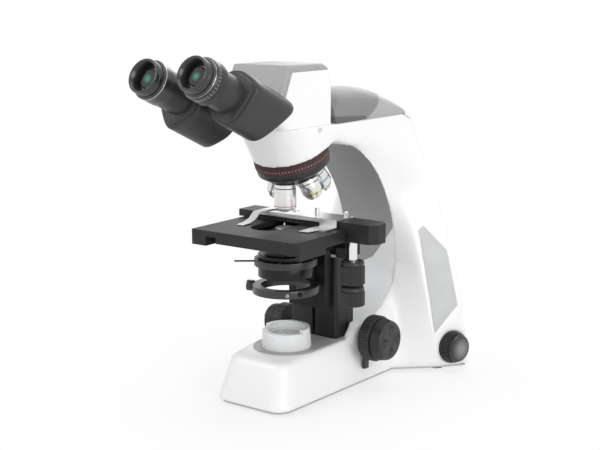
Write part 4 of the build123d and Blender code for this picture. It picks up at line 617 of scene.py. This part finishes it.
def knob_pair(side, coarse_start, coarse_r, fine_start, fine_r, face_r):
    """One coarse knob and its fine knob, outwards from the stand; radii in millimetres."""
    axis = (side, 0, 0)
    coarse = [(0, 5.05), (0, coarse_r - 5), (0.6, coarse_r - 0.8), (2, coarse_r), (13.6, coarse_r)]
    coarse += [(14.8, coarse_r - 0.9), (15.2, coarse_r - 3), (COARSE_THICK, fine_r), (COARSE_THICK, 5.05)]
    face_rings = (face_r - 3.2, face_r - 4.4, 17, 15.5, 14, 12.5, 11, 9.5, 8, 7)
    fine = [(0, 0), (0, fine_r - 1), (1, fine_r), (10.5, face_r + 0.7), (12.5, face_r)]
    fine += [(14.2, face_r - 1.3)] + [(FINE_THICK, ring) for ring in face_rings if ring < face_r - 3]
    fine += [(FINE_THICK, 6.4), (14.4, 6.0), (14.4, 3.0), (14.6, 2.4), (14.6, 0)]
    foot = Vector((coarse_start, shaft.y, shaft.z))
    word = "right" if side > 0 else "left"
    turned("coarse_knob_" + word, "coarse_drive", foot, axis, coarse, knob_black, "black_plastic",
           ["coarse_knobs"], sides=480, shape=ribs(52, 1.3, 1.5, 14))
    foot = Vector((fine_start, shaft.y, shaft.z))
    turned("fine_knob_" + word, "fine_drive", foot, axis, fine, knob_black, "black_plastic",
           ["fine_knobs"], sides=432, shape=dimpled, crease=28)


knob_pair(1, coarse_high.x - COARSE_THICK * MM, 28, fine_high.x - FINE_THICK * MM, 26, 23.5)
knob_pair(-1, coarse_low.x + COARSE_THICK * MM, 23, fine_low.x + FINE_THICK * MM, 20.5, 18.5)

# ------------------------------------------------------------------ stage
# Black anodised stage: fixed table and rails below, the moving plate with its slot, the cross
# guide with its housing, and the coaxial drive with two ribbed knobs under it.
stage_paint = moulded(
    "stage_paint", 0.014, 0.47, warmth=0.03, grain=2400, spread=0.1, Specular_IOR_Level=0.3
)
under_paint = moulded("under_paint", 0.012, 0.5, warmth=0.02, Specular_IOR_Level=0.22)
brass = machined("rack_brass", 0.5, 0.35, warmth=0.35)
tube_chrome = machined("tube_chrome", 0.82, 0.18, stretch=(1, 1, 12))
dress(under_paint, "stage_bracket", soften=0.0004)
dress(brass, "focus_rack")
dress(stage_paint, "stage_plate", soften=0.0007)
dress(stage_paint, "x_guide_block", soften=0.0007)
dress(tube_chrome, "drive_column")


def block(name, plan, bottom, top, finish, body, slot, soften):
    """Machined block over a plan of two corners, its edges broken by a round."""
    low, high = (*plan[0], bottom), (*plan[1], top)
    mesh = bpy.data.meshes.new(name)
    work = bmesh.new()
    bmesh.ops.create_cube(work, size=1)
    for vertex in work.verts:
        vertex.co = Vector(low[k] + (vertex.co[k] + 0.5) * (high[k] - low[k]) for k in range(3))
    work.to_mesh(mesh)
    work.free()
    join_piece(name, mesh, finish, body, slot, soften=soften)


CASE_PLAN = ((0.0675, 0.006), (0.0825, 0.036))
APRON_PLAN = ((-0.031, 0.0385), (0.043, 0.0405))
WING_PLAN = ((0.033, 0.042), (0.06, 0.052))
WING_TALL = 0.02
plate_low, plate_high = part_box("stage_plate")
case_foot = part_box("drive_column")[0].z + 0.0012
block("drive_gear_case", CASE_PLAN, case_foot, plate_low.z, under_paint, "stage",
      "black_aluminium", 0.002)
deck_under = plate_high.z - 0.0064
block("deck_apron", APRON_PLAN, plate_low.z, deck_under, under_paint, "stage_carrier",
      "black_aluminium", 0.0005)
wing_top = plate_low.z - 0.0006
block("carriage_wing", WING_PLAN, wing_top - WING_TALL, wing_top, under_paint, "stage_carrier",
      "black_aluminium", 0.002)

# Each knob: piece, node, joint, body, length of its head, radius of its neck and of its bore.
DRIVE_KNOBS = [
    ("upper_drive_knob", "y_drive_knob", "y_drive_turn", "y_drive", 28, 3.6, 1.95),
    ("lower_drive_knob", "x_drive_knob", "x_drive_turn", "x_drive", 23, 1.9, 0),
]
for name, knob, drive, body, thick, neck_r, bore_r in DRIVE_KNOBS:
    foot_x, foot_y, _ = joints[drive]["pos_m"]
    low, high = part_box(knob)
    top = (high.z - low.z) / MM
    stations = [(0, bore_r), (0, 9), (0.4, 12.6), (1.4, 14.2), (thick - 6, 14.2), (thick - 5.2, 12.4)]
    stations += [(thick - 3.6, 12.4), (thick - 3.4, 13.6), (thick - 0.8, 13.2), (thick, 12)]
    stations += [(thick, neck_r), (top, neck_r), (top, bore_r)]
    turned(
        name,
        body,
        (foot_x, foot_y, low.z),
        (0, 0, 1),
        stations,
        knob_black,
        "black_plastic",
        [knob],
        sides=288,
        shape=ribs(32, 0.9, 1.2, thick - 5.6),
    )

# ------------------------------------------------------------------ slide holder
# Bent from satin stainless sheet: a plate on the cross guide with a front flange and a foot on the
# right, two pins, and a sprung finger on a screw at the left.
holder_steel = machined("holder_steel", 0.62, 0.38, warmth=0.012, stretch=(1, 14, 1))
pin_steel = machined("pin_steel", 0.75, 0.2)
dress(holder_steel, "slide_holder", soften=0.0003)
dress(pin_steel, "holder_posts")
holder_low, holder_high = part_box("slide_holder")
post_low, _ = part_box("holder_posts")
sheet = 1.6 * MM
FLANGE_Y = 0.002
FLANGE_SHORT = 0.024
flange_top = post_low.z - sheet
flange_plan = ((holder_low.x, FLANGE_Y), (holder_high.x - FLANGE_SHORT, FLANGE_Y + sheet))
block("holder_flange", flange_plan, flange_top - 2 * sheet, flange_top, holder_steel, "slide_carrier",
      "steel", 0.0004)


def sheet_strip(name, body, path, stands_for=()):
    """Strip of sheet, bent along a path of (x, y, z, width) in millimetres."""
    points, faces = [], []
    for x, y, z, wide in path:
        for across, drop in ((-wide / 2, 0), (wide / 2, 0), (wide / 2, 1.1), (-wide / 2, 1.1)):
            points.append(Vector((x + across, y, z - drop)) * MM)
    for k in range(0, len(points) - 4, 4):
        faces += [(k + c, k + (c + 1) % 4, k + 4 + (c + 1) % 4, k + 4 + c) for c in range(4)]
    faces += [(3, 2, 1, 0), tuple(range(len(points) - 4, len(points)))]
    mesh = mesh_of(name, points, faces)
    join_piece(name, mesh, holder_steel, body, "steel", stands_for, crease=50, soften=0.0003)


BLADE_X = -34.0
BLADE_WIDE = 11
RIVET_X, RIVET_Y = 0.014, 0.004
pivot = joints["finger_open"]["pos_m"]
px, py = pivot[0] / MM, pivot[1] / MM
finger_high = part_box("spring_finger")[1].z
finger_top = finger_high / MM
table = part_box("stage_plate")[1].z / MM
bends = [(px - 8, py + 6, finger_top, 26), (px - 8, py - 5, finger_top, 26)]
bends += [(BLADE_X, py - 6, finger_top, BLADE_WIDE), (BLADE_X, py - 31, finger_top - 0.2, BLADE_WIDE)]
bends += [(BLADE_X, py - 40, table + 4.6, BLADE_WIDE), (BLADE_X + 1, py - 52, table + 1.7, BLADE_WIDE)]
bends += [(BLADE_X + 2, py - 65, table + 1.4, 10)]
sheet_strip("finger_blade", "finger", bends, ["spring_finger"])
foot_x = holder_high.x / MM - 19
foot_path = [(foot_x + 2, -16, table + 1.6, 16), (foot_x, -36, table + 1.6, 12)]
sheet_strip("holder_foot", "slide_carrier", foot_path)

# Screw head and rivet: centre, height of the sheet below, radius in millimetres.
FASTENERS = [
    ("finger_screw", pivot[0], pivot[1], finger_high, 6.0),
    ("holder_rivet", pivot[0] + RIVET_X, pivot[1] + RIVET_Y, post_low.z, 4.5),
]
for name, x, y, sheet_top, radius in FASTENERS:
    hollow_r = radius * 0.5
    head = [(0, 0), (0, radius), (0.9, radius), (1.3, radius - 0.5), (1.3, radius * 0.55)]
    head += [(0.9, hollow_r), (0.9, 0)]
    turned(name, "slide_carrier", (x, y, sheet_top), (0, 0, 1), head, pin_steel, "steel", sides=48)

# ------------------------------------------------------------------ condenser
# Black anodised condenser on its slide, with the aperture ring and lever, and below it the ring
# for a filter with its clamp screw.
condenser_black = moulded("condenser_black", 0.01, 0.3, grain=2600, Specular_IOR_Level=0.26)
ring_black = moulded("ring_black", 0.03, 0.3)
front_glass = Finish("front_glass", Coat_Weight=1.0, Coat_Roughness=0.02)
haze = front_glass.noise(200, 2)
front_glass.feed(
    Base_Color=front_glass.mix(haze, grey(0.62), grey(0.5, -0.03)),
    Roughness=haze * 0.1 + 0.08,
)
APERTURE_TICKS = 9.0
TICKS_FROM, TICKS_TO = 0.0335, 0.0372
TICKS_DEEP = 0.0012
aperture_black = Finish("aperture_black")
angle, reach = aperture_black.round_axis((0, 0, 0), Vector((0, 0, 1)))
tick = (angle * APERTURE_TICKS).maths("SINE") > 0.9
up_side = aperture_black.along((0, 0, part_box("aperture_ring")[1].z - TICKS_DEEP), (0, 0, 1)) > 0
marks = tick * (reach > TICKS_FROM) * (reach < TICKS_TO) * up_side
speckle = aperture_black.noise(60, 4)
black = aperture_black.mix(speckle, grey(0.025), grey(0.04))
aperture_black.feed(
    Base_Color=aperture_black.mix(marks, black, grey(0.6)),
    Roughness=speckle * 0.2 + 0.3,
)
dress(ring_black, "condenser_slide", "condenser_ring", soften=0.0006)
dress(condenser_black, "condenser_body", soften=0.0005)
dress(front_glass, "condenser_lens")
dress(aperture_black, "aperture_ring", soften=0.0004)
screw_steel = Finish("screw_steel", Metallic=0.9)
screw_low, screw_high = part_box("carrier_screws")
# Painted shade: the screw on the side of greater x is painted near black where a dark hole shows; the
# other is grey steel.
first_side = screw_steel.along(((screw_low.x + screw_high.x) / 2, 0, 0), (1, 0, 0)) < 0
smear = screw_steel.noise(500, 3)
hole_shade_black = screw_steel.mix(smear, grey(0.01), grey(0.02))
screw_steel.feed(
    Base_Color=screw_steel.mix(first_side, hole_shade_black, grey(0.3)),
    Roughness=smear * 0.2 + 0.3,
)
dress(screw_steel, "carrier_screws", soften=0.0003)
clamp_black = moulded("clamp_black", 0.03, 0.4)
dress(clamp_black, "condenser_clamp", soften=0.0006)
dress(knob_black, "condenser_focus_knob", soften=0.0008)

# ------------------------------------------------------------------ nosepiece
# Turret bowl in black enamel, its knurled rubber grip with a row of painted highlights on its
# rib crests, and five satin chrome objectives with their colour bands.
turret_axis = Vector(joints["turret_turn"]["axis"])
apex = Vector(joints["turret_turn"]["pos_m"])
bowl_black = moulded("bowl_black", 0.026, 0.35, grain=2000, Specular_IOR_Level=0.35)
seat_steel = machined("seat_steel", 0.5, 0.3)
dress(bowl_black, "turret", soften=0.0006)
dress(seat_steel, "turret_seat")

# Painted highlights: a row of light dots on the crests of the grip's ribs stands for their glints.
GRIP_RIBS = 72
GLINT_ROW = 0.0365
GLINT_STEEP = 800
RUBBER_DARK = (0.03, 0.008, 0.011, 1)
RUBBER_DUSTY = (0.085, 0.038, 0.04, 1)
GLINT_TONE = (0.45, 0.3, 0.3, 1)
grip_rubber = Finish("grip_rubber")
bend, reach = grip_rubber.round_axis(apex, turret_axis)
far = grip_rubber.along(apex, turret_axis)
row = ((far - GLINT_ROW) * GLINT_STEEP).maths("ABSOLUTE")
dot = (bend * GRIP_RIBS).maths("COSINE") * 0.5 + 0.5
rib_glint = grip_rubber.ramp(dot - row, 0.35, 0.75)
dust = grip_rubber.noise(30, 3)
grip_rubber.feed(
    Base_Color=grip_rubber.mix(rib_glint, grip_rubber.mix(dust, RUBBER_DARK, RUBBER_DUSTY), GLINT_TONE),
    Roughness=dust * 0.15 + 0.5,
)
turned(
    "turret_grip_ring",
    "nosepiece",
    apex,
    turret_axis,
    [(30.5, 38), (30.5, 43.2), (31.3, 44.3), (32, 44.3), (32, 44.8)]
    + [(40, 44.8), (40, 44.3), (41, 44.3), (41, 38)],
    grip_rubber,
    "rubber",
    ["turret_grip"],
    sides=GRIP_RIBS * 6,
    shape=ribs(GRIP_RIBS, 0.5, 31.9, 40.1),
)

SHOULDER = 0.066
GROOVE_AT, GROOVE_HALF = 0.0043, 0.0004
PORTS = 5
# Each objective: port on the turret, colour of its band, the band's place and half width.
OBJECTIVES = {
    "objective_4x": (0, (0.35, 0.02, 0.03, 1), 25.2, 0.35),
    "objective_10x": (4, (0.72, 0.6, 0.2, 1), 17.5, 1.0),
    "objective_20x": (1, (0.1, 0.4, 0.1, 1), 17.5, 1.0),
    "objective_40x": (3, (0.3, 0.5, 0.62, 1), 14.5, 1.6),
    "objective_100x": (2, (0.75, 0.75, 0.72, 1), 14.0, 1.0),
}
COLLAR = [(0, 12), (3.6, 12), (4, 11.6), (4.6, 12)]
STEPS = {
    "objective_4x": [(0, 12.3), (4.6, 12.3), (5, 13), (27.2, 13), (28, 12.2), (28.4, 12.2)]
    + [(29.4, 11.2), (29.6, 11)],
    "objective_10x": [(0, 12.3), (3.6, 12.3), (4, 11.9), (4.6, 12.3), (14, 12.3), (21.5, 8.6)]
    + [(22, 6.5), (23.5, 6)],
    "objective_20x": COLLAR + [(16, 12), (24, 9), (27, 6)],
    "objective_40x": COLLAR + [(20, 12), (26.5, 8), (28.5, 5), (31.5, 3.8)],
    "objective_100x": COLLAR + [(18, 12), (26, 8), (28, 4.5), (31.5, 3.5)],
}
tilt = math.acos(-turret_axis.z)
inward = Vector((0, turret_axis.z, -turret_axis.y))
for name, (port, colour, band_at, band_half) in OBJECTIVES.items():
    bend = math.radians(360 / PORTS * port)
    ring_out = inward * math.cos(bend) + Vector((-1, 0, 0)) * math.sin(bend)
    axis = turret_axis * math.cos(tilt) + ring_out * math.sin(tilt)
    foot = apex + axis * SHOULDER
    chrome = Finish(name + "_chrome", Metallic=0.85)
    far = chrome.along(foot, axis)
    band = (far - band_at * MM).maths("ABSOLUTE") < band_half * MM
    groove = (far - GROOVE_AT).maths("ABSOLUTE") < GROOVE_HALF
    marks = chrome.noise(240, 4)
    satin = chrome.mix(marks, grey(0.72, 0.01), grey(0.82, 0.01))
    chrome.feed(
        Base_Color=chrome.mix(groove, chrome.mix(band, satin, colour), grey(0.08)),
        Roughness=marks * 0.12 + 0.16,
    )
    tip_far, tip_r = STEPS[name][-1]
    end = [(tip_far, tip_r * 0.8), (tip_far - 0.6, tip_r * 0.7), (tip_far - 0.6, 0)]
    turned(
        name + "_barrel",
        "nosepiece",
        foot,
        axis,
        [(-5, 0), (-5, 10), (0, 10)] + STEPS[name] + end,
        chrome,
        "chrome",
        [name],
        sides=96,
    )

# ------------------------------------------------------------------ head
# White moulded head with a grey front and top cover, a lock screw in the arm's side and the hinge
# pin of the tubes.
head_paint = moulded("head_paint", 0.33, 0.42, warmth=-0.008)
dress(white_enamel, "head_housing", soften=0.0008)
dress(head_paint, "head_cover", soften=0.0006)
dress(collar_moulding, "head_lock_screw")
dress(shaft_steel, "hinge_pin", soften=0.0004)

# ------------------------------------------------------------------ binocular tubes
# Prism housings and tubes in black crackle paint; eyepieces with a glossy rubber cup, a thin
# silver ring, a grip and a coated eye lens with a painted teal reflection at its centre, and the
# dioptre ring on the right.
tube_paint = moulded(
    "tube_paint", 0.035, 0.4, warmth=-0.03, grain=1600, depth=0.25, Specular_IOR_Level=0.35
)
dress(tube_paint, "eyetube_right", "eyetube_left")
cup_rubber = moulded("cup_rubber", 0.014, 0.3, grain=2600, depth=0.08, Coat_Weight=0.3)
ring_silver = machined("ring_silver", 0.8, 0.2)
barrel_black = moulded("barrel_black", 0.03, 0.32, grain=2000, Coat_Weight=0.2)
back = -Vector(joints["dioptre_turn"]["axis"]).normalized()

HOUSING_R = 30.0
HOUSING_LOW = 61.0
HOUSING_HIGH = 138.0
HOUSING_SQUARE = 4.6
SQUARE_SHARE = 0.85
HOUSING_SLANT = {"right": 0.5, "left": 0.12}
EYEPIECE_GRIP_R = {"right": 20.5, "left": 21.8}
EYE_REACH = 0.058


def housing(slant, outer, bend, far, radius):
    """Section squared on the outer half, and a rear end cut on a slant."""
    power = HOUSING_SQUARE
    squared = (abs(math.cos(bend)) ** power + abs(math.sin(bend)) ** power) ** (-1 / power)
    if math.sin(bend) * outer > 0:
        radius *= 1 + SQUARE_SHARE * (squared - 1)
    drop = HOUSING_R - radius * math.cos(bend)
    share = (far - HOUSING_LOW) / (HOUSING_HIGH - HOUSING_LOW)
    return far - slant * drop * share**2, radius


for side in ("right", "left"):
    low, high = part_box("eyetube_" + side)
    foot = (low + high) / 2 - back * EYE_REACH
    body = "tube_" + side
    upper = joints["interpupillary_" + side]["pos_m"]
    sideways = foot - Vector(upper)
    sideways -= back * sideways.dot(back)
    upright = sideways.cross(back).normalized()
    if upright.z < 0:
        upright = -upright
    other_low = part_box("eyetube_left" if side == "right" else "eyetube_right")[0]
    outer = back.cross(upright).dot(low - other_low)
    case = [(HOUSING_LOW, 0), (HOUSING_LOW, 24.5), (61.6, 25.6), (63.5, 26.2), (65, 26.4), (65.4, 28.4)]
    case += [(66.4, 29.4), (68, HOUSING_R)] + [(far, HOUSING_R) for far in range(74, 133, 6)]
    case += [(134, HOUSING_R), (136.5, 29.2), (HOUSING_HIGH, 27.2), (HOUSING_HIGH, 0)]
    turned(
        "prism_case_" + side,
        body,
        foot,
        back,
        case,
        tube_paint,
        "black_enamel",
        ["prism_housing_" + side],
        shape=partial(housing, HOUSING_SLANT[side], outer),
        zero=upright,
        crease=38,
    )
    cup = [(0.5, 16.6), (0.0, 17.6), (0.3, 18.7), (1.4, 19.4), (4.6, 19.5), (5.2, 18.9)]
    cup += [(6.2, 18.9), (6.8, 19.5), (9.8, 19.5), (10.4, 19.0), (11, 19.0), (11, 15)]
    cup += [(9, 13.2), (6, 13.6), (3, 15.1), (1.2, 16.1)]
    turned("eyecup_rubber_" + side, body, foot, back, cup, cup_rubber, "rubber", ["eyecup_" + side],
           sides=128)
    grip_r = EYEPIECE_GRIP_R[side]
    barrel = [(11, 11), (11, 20.4), (11.6, 21.4), (12.6, 22), (13.3, 22), (13.3, 21.4)]
    barrel += [(14, 21.4), (14.2, grip_r), (22, grip_r), (22.3, grip_r - 0.4), (22.9, grip_r - 0.4)]
    barrel += [(23.2, grip_r), (31.2, grip_r)]
    barrel += [(32, grip_r - 0.8), (32, 15.1), (60, 15.1), (60, 9), (13, 9), (13, 11)]
    turned("eyepiece_barrel_" + side, body, foot, back, barrel, barrel_black, "black_aluminium",
           ["eyepiece_" + side], sides=128)
    band = [(13.3, 20), (13.3, 21.9), (13.5, 22.05), (13.9, 22.05), (14.1, 21.9), (14.1, 20)]
    turned("eyepiece_ring_" + side, body, foot, back, band, ring_silver, "chrome", sides=128)
    coated = Finish("coated_glass_" + side, Specular_IOR_Level=0.12, IOR=1.5)
    bend, reach = coated.round_axis(foot, back)
    veil = coated.noise(90, 3)
    # Painted reflection: a teal spot at the centre of the near-black eye lens.
    lens_glint = coated.ramp(reach + veil * 0.004, 0.0075, 0.003)
    coated.feed(
        Base_Color=coated.mix(lens_glint, (0.001, 0.008, 0.007, 1), (0.02, 0.3, 0.21, 1)),
        Roughness=veil * 0.06 + 0.04,
    )
    dress(coated, "eye_lens_" + side)

DIAL_TICKS = 36.0
TICK_BAND = (0.0165, 0.0205)
dial_black = Finish("dial_black", Coat_Weight=0.2)
right_foot = sum(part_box("eyetube_right"), Vector()) / 2 - back * EYE_REACH
bend, reach = dial_black.round_axis(right_foot, back)
far = dial_black.along(right_foot, back)
tick = (bend * DIAL_TICKS).maths("COSINE") > 0.88
band = (far > TICK_BAND[0]) * (far < TICK_BAND[1])
speckle = dial_black.noise(80, 4)
black = dial_black.mix(speckle, grey(0.016), grey(0.028))
dial_black.feed(
    Base_Color=dial_black.mix(tick * band, black, grey(0.24)),
    Roughness=speckle * 0.15 + 0.28,
)
turned(
    "dioptre_dial",
    "dioptre",
    right_foot,
    back,
    [(14.3, 20.8), (14.3, 22.6), (14.9, 23.2), (15.4, 23.4), (21.6, 23.4), (21.8, 22.9), (22.4, 22.9)]
    + [(22.6, 23.6), (31.2, 23.6), (31.8, 23.2), (32.5, 22.6), (32.5, 20.8)],
    dial_black,
    "black_aluminium",
    ["dioptre_ring"],
    sides=480,
    shape=ribs(80, 0.5, 22.5, 31.5),
)
